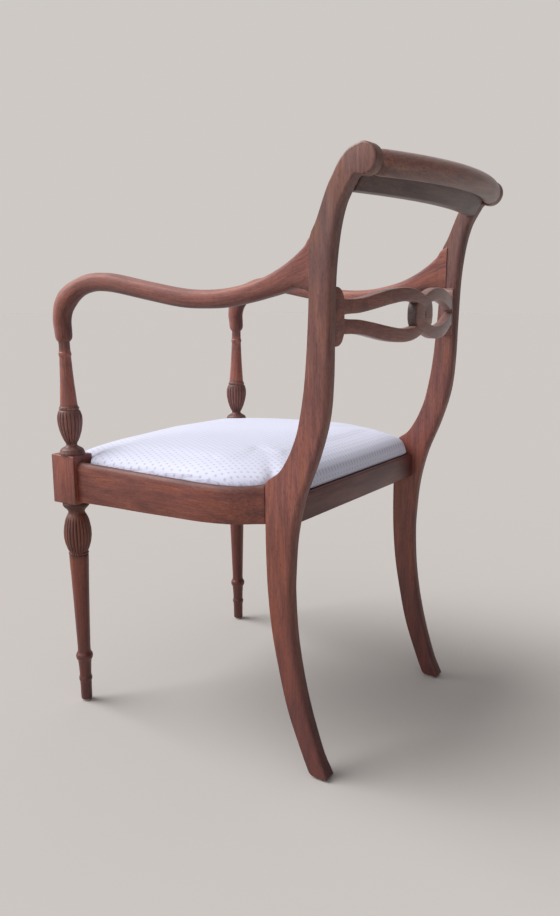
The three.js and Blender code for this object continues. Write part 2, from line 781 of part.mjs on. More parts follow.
// Half plan of the seat from the middle of the front to the middle of the rear
function seatHalfPlan() {
  const besideBlock = blockInner - cornerGap;
  const betweenPosts = innerFace(rebateFloor) - cornerGap;
  const side = seatSideShares.map((share) => [
    seatSide(share) - seatCornerDraw * lookUp(cornerDrawShares, share),
    sideRailStart + sideRailLength * share,
  ]);
  return [
    [besideBlock - seatCornerRadius, seatFront],
    [besideBlock - seatCornerRadius * 0.3, seatFront + seatCornerRadius * 0.3],
    [besideBlock, seatFront + seatCornerRadius],
    [besideBlock, blockRear - cornerGap],
    [besideBlock + seatCornerRadius * 0.3, blockRear + cornerGap * 2],
    ...side,
    [innerFace(rebateFloor) + postThickness * 0.7, frameLength - seatCornerRadius * 1.5],
    [innerFace(rebateFloor), frameLength - seatCornerRadius * 0.9],
    [betweenPosts, frameLength],
    [betweenPosts, seatRear - seatCornerRadius],
    [betweenPosts - seatCornerRadius * 0.3, seatRear - seatCornerRadius * 0.3],
    [betweenPosts - seatCornerRadius, seatRear],
  ];
}

// Whole plan, drawn in towards its middle by a share
function seatPlan(inset = 0) {
  const half = seatHalfPlan();
  const whole = [[0, seatFront], ...half, [0, seatRear], ...half.map(([x, y]) => [-x, y]).reverse()];
  return whole.map(([x, y]) => [x * (1 - inset), seatCentreY + (y - seatCentreY) * (1 - inset)]);
}

const coverInset = coverThickness / halfLegs;
const frameInset = 2 * coverInset;

// The crown is full along the sides and falls away at the four corners
const crownFallShare = 0.8;
const crownHeight = (share, x, y) => {
  const across = Math.abs(x) / seatSide(0.76);
  const along = Math.abs(y - seatCentreY) / (seatRear - seatCentreY);
  const fall = crownFallShare * Math.min(across * along, 1) ** 1.5;
  return seatEdge + seatCrown * Math.sqrt(1 - share ** 8) * (1 - fall);
};

function seatRing(share, level, inset) {
  return seatPlan(1 - share * (1 - inset)).map(([x, y]) => {
    const z = typeof level === 'function' ? level(x, y) : level;
    return new THREE.Vector3(x, y, z);
  });
}

const coverFootShare = 0.995;
const domeShares = [0.99, 0.965, 0.92, 0.84, 0.7, 0.5, 0.2];

const crownRing = (share, depth, inset) => seatRing(
  share,
  (x, y) => crownHeight(share, x, y) - depth,
  inset,
);

function seatCover() {
  const sideMiddle = (seatFloor + seatEdge) / 2;
  const outer = [
    ...domeShares.toReversed().map((share) => crownRing(share, 0, 0)),
    seatRing(1, seatEdge, 0),
    seatRing(1, sideMiddle, 0),
    seatRing(coverFootShare, seatFloor, 0),
  ];
  const inner = [
    seatRing(coverFootShare, seatFloor, coverInset),
    seatRing(1, seatEdge - coverThickness, coverInset),
    ...domeShares.slice(2).map((share) => crownRing(share, coverThickness, coverInset)),
  ];
  return loft([...outer, ...inner]);
}

const dustCoverTop = seatFloor + clothThickness;
const seatFrameBottom = dustCoverTop + clearance;
const seatFrameTop = seatFrameBottom + seatFrameThickness;
const crossWebTop = seatFrameTop + clearance + webbingThickness;
const longWebTop = crossWebTop + clearance + webbingThickness;
const baseClothTop = longWebTop + clearance + clothThickness;
const paddingBottom = baseClothTop + clearance;

const dustCover = () => slab(seatPlan(frameInset * 1.2), seatFloor, dustCoverTop);
const baseCloth = () => slab(seatPlan(frameInset * 1.6), baseClothTop - clothThickness, baseClothTop);

function seatPadding() {
  const inset = frameInset;
  const gap = coverThickness + 2 * clearance;
  return loft([
    seatRing(0.97, paddingBottom, inset),
    ...domeShares.slice(2).map((share) => crownRing(share, gap, inset)),
  ]);
}

const seatFrameCuts = {
  front: [-legSpacing, seatFront - overrun, legSpacing, seatFront + seatFrameWidth],
  rear: [-legSpacing, seatRear - seatFrameWidth, legSpacing, seatRear + overrun],
  left: [
    halfLegs - seatFrameWidth, seatFront + seatFrameWidth + clearance,
    legSpacing, seatRear - seatFrameWidth - clearance,
  ],
  right: [
    -legSpacing, seatFront + seatFrameWidth + clearance,
    seatFrameWidth - halfLegs, seatRear - seatFrameWidth - clearance,
  ],
};

function seatFrameMember(name) {
  const [left, front, right, rear] = seatFrameCuts[name];
  const whole = solid(slab(seatPlan(frameInset), seatFrameBottom, seatFrameTop));
  return geometryOf(whole.intersect(solid(box([left, front, 0], [right, rear, overallHeight]))));
}

// Webbing: two straps across, then three along the seat over them
const webSpanY = (seatRear - seatFront) / 2 - overrun;
const webSpanX = halfLegs - seatFrameWidth / 2;
const crossStrap = (share) => box(
  [-webSpanX, seatCentreY + webSpanY * share - strapWidth / 2, crossWebTop - webbingThickness],
  [webSpanX, seatCentreY + webSpanY * share + strapWidth / 2, crossWebTop],
);
const longStrap = (share) => box(
  [webSpanX * share - strapWidth / 2, seatCentreY - webSpanY, longWebTop - webbingThickness],
  [webSpanX * share + strapWidth / 2, seatCentreY + webSpanY, longWebTop],
);

// The whole chair

const group = new THREE.Group();

function place(name, geometry, finish) {
  const plain = geometry.isBufferGeometry ? geometry : geometryOf(geometry);
  const mesh = new THREE.Mesh(plain, new THREE.MeshStandardMaterial(finish));
  mesh.name = name;
  group.add(mesh);
}

function placePair(name, body, finish) {
  const left = body.isBufferGeometry ? body : geometryOf(body);
  place(`${name}_left`, left, finish);
  place(`${name}_right`, mirrored(left), finish);
}

const board = postBoard();
const frontScrewHoles = braceScrews.front.map(braceScrewHole);
const rearScrewHoles = braceScrews.rear.map(braceScrewHole);
const solidBox = (low, high) => solid(box(low, high));
const mortise = (low, high) => solid(grown(low, high));

placePair('back_post', cut(
  board,
  sideRailTenon('rear', mortise),
  backRailTenon(1, mortise),
  splatTenon(1, mortise),
  solid(crestDowel('upper', clearance)),
  solid(crestDowel('lower', clearance)),
  armDowelHole(),
  nailHole(rearFoot),
), mahogany);

placePair('front_leg', cut(
  frontLegBody(),
  sideRailTenon('front', mortise),
  frontRailTenon(1, mortise),
  lowerPinHole(),
  nailHole(frontFoot),
), mahogany);

const crestHoles = Object.keys(crestDowelPlaces).map((level) => solid(crestDowel(level, clearance)));
place('crest_rail', cut(crestBody(), ...crestHoles, ...crestHoles.map(mirroredSolid)), mahogany);
for (const level of Object.keys(crestDowelPlaces)) {
  placePair(`crest_dowel_${level}`, crestDowel(level), beech);
}

place('cross_splat', join(splatBody(), splatTenon(1, solidBox), splatTenon(-1, solidBox)), mahogany);

placePair('arm', cut(
  armBody(),
  board.translate([0, -clearance, 0]),
  armDowelHole(),
  upperPinHole(),
), mahogany);
placePair('arm_dowel', armDowel(), beech);
placePair('arm_support', armSupport(), mahogany);

const sideRail = join(sideRailBody(), sideRailTenon('front', solidBox), sideRailTenon('rear', solidBox));
placePair('side_rail', cut(sideRail, frontScrewHoles[1], rearScrewHoles[1]), mahogany);

const frontRail = join(frontRailBody(), frontRailTenon(1, solidBox), frontRailTenon(-1, solidBox));
place('front_rail', cut(frontRail, frontScrewHoles[0], mirroredSolid(frontScrewHoles[0])), mahogany);

const backRail = join(backRailBody(), backRailTenon(1, solidBox), backRailTenon(-1, solidBox));
place('back_rail', cut(backRail, rearScrewHoles[0], mirroredSolid(rearScrewHoles[0])), mahogany);

const sideRailRoom = sideRailBody(overrun).translate([-clearance, 0, 0]);
placePair('corner_brace_front', cut(
  solid(slab(braceOutline('front'), braceBottom, braceTop)),
  solidBox([0, frontRailFace, 0], [blockInner + overrun, frontRailRear + clearance, railTop]),
  sideRailRoom,
  frontLegBody().translate([-clearance, clearance, 0]),
  ...frontScrewHoles,
), beech);
placePair('corner_brace_rear', cut(
  solid(slab(braceOutline('rear'), braceBottom, braceTop)),
  solidBox([0, backRailFront - clearance, 0], [railOuterRear, backRailRear, railTop]),
  sideRailRoom,
  board.translate([-clearance, -clearance, 0]),
  ...rearScrewHoles,
), beech);
for (const [end, screws] of Object.entries(braceScrews)) {
  screws.forEach((screw, number) => placePair(`brace_screw_${end}_${number + 1}`, braceScrew(screw), steel));
}

placePair('glide_front', glide(frontFoot), nylon);
placePair('glide_rear', glide(rearFoot), nylon);

for (const name of Object.keys(seatFrameCuts)) place(`seat_frame_${name}`, seatFrameMember(name), beech);
[-0.33, 0.33].forEach((share, number) => place(`webbing_across_${number + 1}`, crossStrap(share), juteWeb));
[-0.55, 0, 0.55].forEach((share, number) => place(`webbing_along_${number + 1}`, longStrap(share), juteWeb));
place('base_cloth', baseCloth(), juteWeb);
place('seat_padding', seatPadding(), feltPad);
place('seat_cover', seatCover(), dobbyCloth);
place('dust_cover', dustCover(), blackCloth);

// The origin is on the floor, under the middle of the chair
const rearmost = rollY + rollRadius + crestBow;
group.position.y = -(rearmost - blockFront) / 2;

export default group;
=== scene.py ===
import math

import bmesh
import bpy
from mathutils import Matrix, Vector


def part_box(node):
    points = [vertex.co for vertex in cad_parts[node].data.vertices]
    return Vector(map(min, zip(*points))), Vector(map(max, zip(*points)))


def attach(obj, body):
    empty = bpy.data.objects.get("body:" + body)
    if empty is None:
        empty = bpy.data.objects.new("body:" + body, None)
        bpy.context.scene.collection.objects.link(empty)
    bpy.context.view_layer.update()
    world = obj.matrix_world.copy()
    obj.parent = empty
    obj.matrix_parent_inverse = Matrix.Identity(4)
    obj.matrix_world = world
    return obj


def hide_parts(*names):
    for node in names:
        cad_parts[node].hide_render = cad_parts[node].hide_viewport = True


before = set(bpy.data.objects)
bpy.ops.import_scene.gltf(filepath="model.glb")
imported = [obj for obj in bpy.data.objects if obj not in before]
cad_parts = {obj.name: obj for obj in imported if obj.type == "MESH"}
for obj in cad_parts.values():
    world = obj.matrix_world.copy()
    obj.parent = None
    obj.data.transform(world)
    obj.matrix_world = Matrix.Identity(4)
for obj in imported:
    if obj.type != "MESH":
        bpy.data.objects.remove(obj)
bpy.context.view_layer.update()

# Sizes are millimetres in the text and metres in Blender. Places along the chair are measured
# from the axis of the front legs, which the frame gives.
MM = 0.001
BLOCK_FRONT = 30.6
LEG_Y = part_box("front_leg_left")[0].y / MM + BLOCK_FRONT
LEG_X = sum(corner.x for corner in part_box("front_leg_left")) / 2 / MM
OVERALL_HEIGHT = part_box("back_post_left")[1].z / MM


def place(x, y, z):
    """A point of the chair in Blender's metres."""
    return Vector((x, y + LEG_Y, z)) * MM


# Camera: a little above the seat, behind the sitter's left shoulder

CAMERA_PLACE = (1.1509, 0.76065, 0.7045)
CAMERA_YAW = 214.081
CAMERA_PITCH = -11.217
CAMERA_ROLL = -0.319
FOCAL_PIXELS = 819.32
CENTRE_PIXELS = (0.42, 0.55)
PICTURE_HEIGHT = 916
SENSOR = 36


def add_camera():
    data = bpy.data.cameras.new("camera")
    data.sensor_fit = "AUTO"
    data.sensor_width = SENSOR
    data.lens = FOCAL_PIXELS * SENSOR / PICTURE_HEIGHT
    data.shift_x = -CENTRE_PIXELS[0] / PICTURE_HEIGHT
    data.shift_y = CENTRE_PIXELS[1] / PICTURE_HEIGHT
    camera = bpy.data.objects.new("camera", data)
    bpy.context.scene.collection.objects.link(camera)
    yaw, pitch, roll = (math.radians(angle) for angle in (CAMERA_YAW, CAMERA_PITCH, CAMERA_ROLL))
    turn = Matrix.Rotation(yaw - math.pi / 2, 4, "Z")
    tip = Matrix.Rotation(math.pi / 2 + pitch, 4, "X")
    lean = Matrix.Rotation(roll, 4, "Z")
    camera.matrix_world = Matrix.Translation(CAMERA_PLACE) @ turn @ tip @ lean
    bpy.context.scene.camera = camera


# Colours and node trees

def linear(code):
    """An sRGB hex colour as the linear RGBA that a shader socket takes."""
    channels = [int(code[start:start + 2], 16) / 255 for start in (1, 3, 5)]
    return (*[c / 12.92 if c <= 0.04045 else ((c + 0.055) / 1.055) ** 2.4 for c in channels], 1)


def add_node(tree, kind, settings=None, values=None, links=None):
    """Adds a node; values and links are keyed by input name or number, a link being (node, output)."""
    node = tree.nodes.new(kind)
    for key, value in (settings or {}).items():
        setattr(node, key, value)
    for key, value in (values or {}).items():
        node.inputs[key].default_value = value
    for key, (source, output) in (links or {}).items():
        tree.links.new(source.outputs[output], node.inputs[key])
    return node


def shade_ramp(tree, source, output, stops):
    """A colour ramp over a value: stops are (position, colour)."""
    ramp = add_node(tree, "ShaderNodeValToRGB", links={"Fac": (source, output)})
    elements = ramp.color_ramp.elements
    while len(elements) < len(stops):
        elements.new(1)
    for element, (position, colour) in zip(elements, stops):
        element.position = position
        element.color = colour
    return ramp


def new_material(name):
    material = bpy.data.materials.new(name)
    material.use_nodes = True
    tree = material.node_tree
    return material, tree, tree.nodes["Principled BSDF"]


def grey(level):
    return (level, level, level, 1)


# Old Cuban mahogany, hand planed and French polished: a close red-brown wood with a faint straight
# figure, a few dark pores drawn out along the grain, and a thin satin film. Painted shade by height:
# the colour is made darker towards the feet and greyer up the back, for the light falling off lower down.

GRAIN_ALONG = 60
FIGURE_WIDTH = 3
PORE_WIDTH = 1.4
PORE_LENGTH = 7
BLOTCH_WIDTH = 15
BLOTCH_LENGTH = 90
# Painted shade and dirt: the bluish grey that the wood is multiplied towards where the shade-and-dirt
# attribute is high
SHADE_AND_DIRT_TINT = "#9cbccb"
DUST_MATTNESS = 0.4
# Painted shade by height: colours the wood is multiplied by, darkest at the feet, for the light falling off
# lower down
SHADE_HEIGHTS = (20, 120, 240, 360, 440, 520, 660, 800, 889)
HEIGHT_SHADE_COLOURS = (
    "#a08183", "#ab8c87", "#cfb8a4", "#dfd6c6", "#eff2f4", "#e5e8eb", "#d6e6ea", "#c6e0e6", "#e2ffff",
)


def stretched(tree, coordinates, axis, across, along):
    """Mapped coordinates in which a pattern cell is across wide and along long, in millimetres."""
    scale = [1 / (across * MM)] * 3
    scale["XYZ".index(axis)] = 1 / (along * MM)
    return add_node(
        tree, "ShaderNodeMapping", values={"Scale": scale}, links={"Vector": coordinates},
    )


def multiplied(tree, first, second, factor):
    """One colour multiplied by another; both are (node, output)."""
    mix = add_node(
        tree, "ShaderNodeMix", {"data_type": "RGBA", "blend_type": "MULTIPLY"}, links={6: first, 7: second},
    )
    mix.inputs[0].default_value = factor
    return mix, 2


def mahogany(name, axis, stain_and_shade="#ffffff", height_shade=1, haze=0, coat=0.3, dull=0, attribute=None):
    """Mahogany whose grain runs along an axis of the object, or of an attribute's coordinates.

    The shade-and-dirt attribute holds, from nothing to one, how far a place is painted darker as shade,
    on shadow sides, undersides and in hollows, and dulled by old polish and dust.
    """
    material, tree, shader = new_material(name)
    place_on_chair = (add_node(tree, "ShaderNodeTexCoord"), "Object")
    coordinates = place_on_chair
    if attribute:
        coordinates = (add_node(tree, "ShaderNodeAttribute", {"attribute_name": attribute}), "Vector")
    figure = add_node(
        tree, "ShaderNodeTexNoise", values={"Scale": 1, "Detail": 4, "Roughness": 0.55, "Distortion": 0.3},
        links={"Vector": (stretched(tree, coordinates, axis, FIGURE_WIDTH, GRAIN_ALONG), 0)},
    )
    blotches = add_node(
        tree, "ShaderNodeTexNoise", values={"Scale": 1, "Detail": 3, "Roughness": 0.55},
        links={"Vector": (stretched(tree, coordinates, axis, BLOTCH_WIDTH, BLOTCH_LENGTH), 0)},
    )
    pores = add_node(
        tree, "ShaderNodeTexNoise", values={"Scale": 1, "Detail": 2, "Roughness": 0.5},
        links={"Vector": (stretched(tree, coordinates, axis, PORE_WIDTH, PORE_LENGTH), 0)},
    )
    wood = shade_ramp(tree, figure, "Fac", [
        (0.3, linear("#884c44")), (0.5, linear("#985a50")), (0.68, linear("#a86a5c")),
    ])
    tone = shade_ramp(tree, blotches, "Fac", [
        (0.36, linear("#d3cad0")), (0.5, linear("#f0ebea")), (0.64, linear("#fff6e4")),
    ])
    pits = shade_ramp(tree, pores, "Fac", [
        (0.3, linear("#ab9590")), (0.42, linear("#eeeae8")), (0.6, linear("#ffffff")),
    ])
    shade_and_grime = add_node(tree, "ShaderNodeAttribute", {"attribute_name": "shade_and_dirt"})
    shade_and_dirt = shade_ramp(tree, shade_and_grime, "Fac", [(0, linear("#ffffff")), (1, linear(SHADE_AND_DIRT_TINT))])
    height = add_node(tree, "ShaderNodeSeparateXYZ", links={"Vector": place_on_chair})
    rise = add_node(
        tree, "ShaderNodeMapRange", values={"From Min": 0, "From Max": OVERALL_HEIGHT * MM},
        links={"Value": (height, "Z")},
    )
    # Painted shade by height, darker towards the feet; each finish sets its own share of it
    height_ramp = shade_ramp(tree, rise, "Result", [
        (level / OVERALL_HEIGHT, linear(colour)) for level, colour in zip(SHADE_HEIGHTS, HEIGHT_SHADE_COLOURS)
    ])
    toned = multiplied(tree, (wood, "Color"), (tone, "Color"), 1)
    pitted = multiplied(tree, toned, (pits, "Color"), 0.7)
    height_shaded = multiplied(tree, pitted, (height_ramp, "Color"), height_shade)
    shade_and_dust = multiplied(tree, height_shaded, (shade_and_dirt, "Color"), 1)
    stained_and_shaded = add_node(
        tree, "ShaderNodeMix", {"data_type": "RGBA", "blend_type": "MULTIPLY"},
        values={7: linear(stain_and_shade)}, links={6: shade_and_dust},
    )
    stained_and_shaded.inputs[0].default_value = 1
    tree.links.new(stained_and_shaded.outputs[2], shader.inputs["Base Color"])
    film = shade_ramp(tree, blotches, "Fac", [(0.3, grey(0.5 + dull)), (0.7, grey(0.38 + dull))])
    matt = add_node(
        tree, "ShaderNodeMath", {"operation": "MULTIPLY_ADD"}, values={1: DUST_MATTNESS},
        links={0: (shade_and_grime, "Fac"), 2: (film, "Color")},
    )
    tree.links.new(matt.outputs["Value"], shader.inputs["Roughness"])
    bump = add_node(
        tree, "ShaderNodeBump", values={"Strength": 0.1, "Distance": 0.3 * MM},
        links={"Height": (pores, "Fac")},
    )
    tree.links.new(bump.outputs["Normal"], shader.inputs["Normal"])
    shader.inputs["IOR"].default_value = 1.5
    shader.inputs["Coat Weight"].default_value = coat
    shader.inputs["Coat Roughness"].default_value = 0.35
    shader.inputs["Sheen Weight"].default_value = haze
    return material


# Cotton dobby, a close cool-white plain weave with a small grey spot woven in on a staggered net.
# The threads are drawn coarser than real ones, so that they still show as a soft tooth.

SPOT_ACROSS = 9
SPOT_ALONG = 17
SPOT_REACH_SHARE = 0.2
THREAD_PITCH = 1.3
CREASE_WIDTH = 4
CREASE_LENGTH = 60
CREASED_BAND = 20


def dobby(name):
    material, tree, shader = new_material(name)
    cloth = (add_node(tree, "ShaderNodeAttribute", {"attribute_name": "cloth"}), "Vector")
    net = add_node(
        tree, "ShaderNodeMapping", values={
            "Rotation": (0, 0, math.pi / 4),
            "Scale": (math.sqrt(2) / (SPOT_ACROSS * MM), math.sqrt(2) / (SPOT_ALONG * MM), 0),
        },
        links={"Vector": cloth},
    )
    cell = add_node(tree, "ShaderNodeVectorMath", {"operation": "FRACTION"}, links={0: (net, 0)})
    centred = add_node(
        tree, "ShaderNodeVectorMath", {"operation": "SUBTRACT"}, values={1: (0.5, 0.5, 0)},
        links={0: (cell, 0)},
    )
    reach = add_node(tree, "ShaderNodeVectorMath", {"operation": "LENGTH"}, links={0: (centred, 0)})
    spot = shade_ramp(tree, reach, "Value", [
        (SPOT_REACH_SHARE * 0.4, linear("#aeb1c4")), (SPOT_REACH_SHARE, linear("#c5c8dc")),
        (SPOT_REACH_SHARE * 1.5, linear("#cfd1e4")),
    ])
    thread = add_node(
        tree, "ShaderNodeVectorMath", {"operation": "SCALE"},
        values={"Scale": 2 * math.pi / (THREAD_PITCH * MM)}, links={0: cloth},
    )
    waves = add_node(tree, "ShaderNodeVectorMath", {"operation": "SINE"}, links={0: (thread, 0)})
    weave = add_node(
        tree, "ShaderNodeVectorMath", {"operation": "DOT_PRODUCT"}, values={1: (0.5, 0.5, 0)},
        links={0: (waves, 0)},
    )
    edge = add_node(tree, "ShaderNodeSeparateXYZ", links={"Vector": cloth})
    creases = add_node(
        tree, "ShaderNodeTexNoise", {"noise_dimensions": "2D"},
        values={"Scale": 1, "Detail": 2, "Distortion": 0.6},
        links={"Vector": (stretched(tree, cloth, "Y", CREASE_WIDTH, CREASE_LENGTH), 0)},
    )
    gathered = add_node(
        tree, "ShaderNodeMath", {"operation": "MULTIPLY"}, links={0: (creases, "Fac"), 1: (edge, "Z")},
    )
    # Painted shade: faint darker lines along the creases near the cover's edge
    painted_crease_shade = shade_ramp(tree, gathered, "Value", [
        (0.4, linear("#ffffff")), (0.45, linear("#dcd7df")), (0.49, linear("#ffffff")),
        (0.54, linear("#e0dbe2")), (0.58, linear("#ffffff")),
    ])
    crease_shaded = multiplied(tree, (spot, "Color"), (painted_crease_shade, "Color"), 1)
    tree.links.new(crease_shaded[0].outputs[crease_shaded[1]], shader.inputs["Base Color"])
    pulled = add_node(
        tree, "ShaderNodeBump", values={"Strength": 0.8, "Distance": 1.5 * MM},
        links={"Height": (gathered, 0)},
    )
    bump = add_node(
        tree, "ShaderNodeBump", values={"Strength": 0.25, "Distance": 0.2 * MM},
        links={"Height": (weave, "Value"), "Normal": (pulled, "Normal")},
    )
    tree.links.new(bump.outputs["Normal"], shader.inputs["Normal"])
    shader.inputs["Roughness"].default_value = 0.92
    shader.inputs["Sheen Weight"].default_value = 0.15
    shader.inputs["Sheen Roughness"].default_value = 0.5
    return material


# Raw beech of the braces, dowels and seat frame: a pale pink-brown wood with short darker flecks

FLECK_WIDTH = 0.8
FLECK_LENGTH = 3


def beech(name, axis):
    material, tree, shader = new_material(name)
    object_place = (add_node(tree, "ShaderNodeTexCoord"), "Object")
    figure = add_node(
        tree, "ShaderNodeTexNoise", values={"Scale": 1, "Detail": 3},
        links={"Vector": (stretched(tree, object_place, axis, 3 * FIGURE_WIDTH, GRAIN_ALONG), 0)},
    )
    flecks = add_node(
        tree, "ShaderNodeTexNoise", values={"Scale": 1, "Detail": 1},
        links={"Vector": (stretched(tree, object_place, axis, FLECK_WIDTH, FLECK_LENGTH), 0)},
    )
    wood = shade_ramp(tree, figure, "Fac", [(0.35, linear("#a97c53")), (0.65, linear("#c39a70"))])
    marks = shade_ramp(tree, flecks, "Fac", [(0.3, linear("#cdb39c")), (0.42, linear("#ffffff"))])
    marked = multiplied(tree, (wood, "Color"), (marks, "Color"), 1)
    tree.links.new(marked[0].outputs[marked[1]], shader.inputs["Base Color"])
    shader.inputs["Roughness"].default_value = 0.7
    shader.inputs["IOR"].default_value = 1.5
    return material


# Dull steel wood screws, turned and slightly oxidised, and moulded nylon glides worn by the floor


def speckled(name, low, high, roughness, patch, metallic=0):
    """A hard surface whose colour and gloss vary in small patches."""
    material, tree, shader = new_material(name)
    noise = add_node(
        tree, "ShaderNodeTexNoise", values={"Scale": 1 / (patch * MM), "Detail": 4},
        links={"Vector": (add_node(tree, "ShaderNodeTexCoord"), "Object")},
    )
    colour = shade_ramp(tree, noise, "Fac", [(0.35, linear(low)), (0.65, linear(high))])
    gloss = shade_ramp(tree, noise, "Fac", [(0.3, grey(roughness * 1.2)), (0.7, grey(roughness * 0.85))])
    tree.links.new(colour.outputs["Color"], shader.inputs["Base Color"])
    tree.links.new(gloss.outputs["Color"], shader.inputs["Roughness"])
    shader.inputs["Metallic"].default_value = metallic
    return material


# Woven webbing, base cloth and dust cloth: plain weaves whose two sets of threads show as a check,
# with single threads thicker or darker than the rest


def woven(name, low, high, thread):
    material, tree, shader = new_material(name)
    object_place = (add_node(tree, "ShaderNodeTexCoord"), "Object")
    turns = add_node(
        tree, "ShaderNodeVectorMath", {"operation": "SCALE"}, values={"Scale": math.pi / (thread * MM)},
        links={0: object_place},
    )
    waves = add_node(tree, "ShaderNodeVectorMath", {"operation": "SINE"}, links={0: (turns, 0)})
    axes = add_node(tree, "ShaderNodeSeparateXYZ", links={"Vector": (waves, 0)})
    check = add_node(
        tree, "ShaderNodeMath", {"operation": "MULTIPLY"}, links={0: (axes, "X"), 1: (axes, "Y")},
    )
    slub = add_node(
        tree, "ShaderNodeTexNoise", values={"Scale": 1, "Detail": 2},
        links={"Vector": (stretched(tree, object_place, "Y", thread, 12 * thread), 0)},
    )
    both = add_node(
        tree, "ShaderNodeMath", {"operation": "MULTIPLY_ADD"}, values={1: 0.35},
        links={0: (check, 0), 2: (slub, "Fac")},
    )
    colour = shade_ramp(tree, both, "Value", [(0.2, linear(low)), (0.8, linear(high))])
    bump = add_node(
        tree, "ShaderNodeBump", values={"Strength": 0.4, "Distance": thread * MM / 2},
        links={"Height": (check, 0)},
    )
    tree.links.new(colour.outputs["Color"], shader.inputs["Base Color"])
    tree.links.new(bump.outputs["Normal"], shader.inputs["Normal"])
    shader.inputs["Roughness"].default_value = 0.95
    shader.inputs["Sheen Weight"].default_value = 0.1
    return material


def finish_hidden_parts():
    """Gives the frame's own solids that are seen from below or inside their real finishes."""
    lengthwise_beech = beech("beech_lengthwise", "Y")
    crosswise_beech = beech("beech_crosswise", "X")
    steel = speckled("steel_turned", "#6f6d68", "#9a9791", 0.45, 1.5, metallic=1)
    nylon = speckled("nylon_moulded", "#b3a994", "#cfc6b4", 0.5, 6)
    jute = woven("jute_webbing", "#84704c", "#b39c72", 1.6)
    dust_cloth = woven("cotton_dust_cloth", "#1b1b1d", "#39383b", 0.9)
    by_slot = {
        "beech": crosswise_beech, "screw_steel": steel, "glide_nylon": nylon, "webbing": jute,
        "dust_cloth": dust_cloth,
    }
    by_node = {"seat_frame_left": lengthwise_beech, "seat_frame_right": lengthwise_beech}
    for name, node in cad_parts.items():
        slot = node.material_slots[0].material.name
        finish = by_node.get(name, by_slot.get(slot))
        if finish:
            node.material_slots[0].material = finish


# Mesh helpers

def deselect_all():
    for item in bpy.context.selected_objects:
        item.select_set(False)


def sweep(name, rings, closed=False, grain=None, shade_and_dirt=None):
    """A skin through rings of points: a circle extruded from ring to ring, each ring then shaped.

    grain holds the wood's own coordinates for every ring, where they differ from the object's, and the
    last argument how much painted shade and dirt lies on each of a ring's points.
    """
    deselect_all()
    bpy.ops.mesh.primitive_circle_add(vertices=len(rings[0]), fill_type="NOTHING" if closed else "NGON")
    piece = bpy.context.object
    piece.name = piece.data.name = name
    bpy.ops.object.mode_set(mode="EDIT")
    skin = bmesh.from_edit_mesh(piece.data)
    turn = skin.verts.layers.int.new("turn")
    skin.verts.layers.float_vector.new("grain")
    skin.verts.layers.float.new("shade_and_dirt")
    for vertex in skin.verts:
        vertex[turn] = vertex.index
    for number, ring in enumerate(rings + rings[:1] if closed else rings):
        if number:
            bpy.ops.mesh.extrude_region_move()
            skin = bmesh.from_edit_mesh(piece.data)
        layers = skin.verts.layers
        for vertex in skin.verts:
            if vertex.select:
                step = vertex[layers.int["turn"]]
                vertex.co = ring[step]
                vertex[layers.float_vector["grain"]] = grain[number][step] if grain else vertex.co
                vertex[layers.float["shade_and_dirt"]] = shade_and_dirt[number][step] if shade_and_dirt else 0
        bmesh.update_edit_mesh(piece.data)
    bpy.ops.mesh.select_all(action="SELECT")
    bpy.ops.mesh.remove_doubles(threshold=0.001 * MM)
    bpy.ops.mesh.normals_make_consistent(inside=False)
    bpy.ops.object.mode_set(mode="OBJECT")
    piece.data.attributes.remove(piece.data.attributes["turn"])
    if not grain:
        piece.data.attributes.remove(piece.data.attributes["grain"])
    return piece


def choose(piece):
    deselect_all()
    piece.select_set(True)
    bpy.context.view_layer.objects.active = piece


def apply_modifier(piece, kind, **settings):
    choose(piece)
    modifier = piece.modifiers.new(kind.lower(), kind)
    for key, value in settings.items():
        setattr(modifier, key, value)
    bpy.ops.object.modifier_apply(modifier=modifier.name)
    return piece


def ease(piece, width, segments=3, angle=30):
    """Rounds every edge sharper than an angle, as a wiped cloth and years of hands do."""
    return apply_modifier(
        piece, "BEVEL", width=width * MM, segments=segments, limit_method="ANGLE",
        angle_limit=math.radians(angle), use_clamp_overlap=True, miter_outer="MITER_ARC",
    )


def smooth(piece, angle=35):
    choose(piece)
    bpy.ops.object.shade_smooth_by_angle(angle=math.radians(angle))
    return piece


def joined(*pieces):
    choose(pieces[0])
    for piece in pieces[1:]:
        piece.select_set(True)
    bpy.ops.object.join()
    return bpy.context.object


def mirror_copy(piece, name):
    """The other side's piece, with a mesh of its own."""
    choose(piece)
    bpy.ops.object.duplicate()
    copy = bpy.context.object
    copy.name = copy.data.name = name
    copy.data.transform(Matrix.Scale(-1, 4, (1, 0, 0)))
    copy.data.flip_normals()
    return copy


def fit(piece, material, body, slot, *nodes):
    """Finishes a piece: its material, the body it rides on, and the CAD nodes it stands for."""
    piece.data.materials.clear()
    piece.data.materials.append(material)
    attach(piece, body)
    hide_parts(*nodes)
    return piece


def fit_pair(piece, name, material):
    """The left piece and its mirrored copy, both of the frame's mahogany."""
    right = mirror_copy(piece, f"{name}_right_wood")
    fit(piece, material, "chair_frame", "mahogany", f"{name}_left")
    fit(right, material, "chair_frame", "mahogany", f"{name}_right")


def look_up(table, spot):
    """Straight interpolation in a table of (place, value) pairs."""
    if spot <= table[0][0]:
        return table[0][1]
    for (left, low), (right, high) in zip(table, table[1:]):
        if spot <= right:
            return low + (high - low) * (spot - left) / (right - left)
    return table[-1][1]


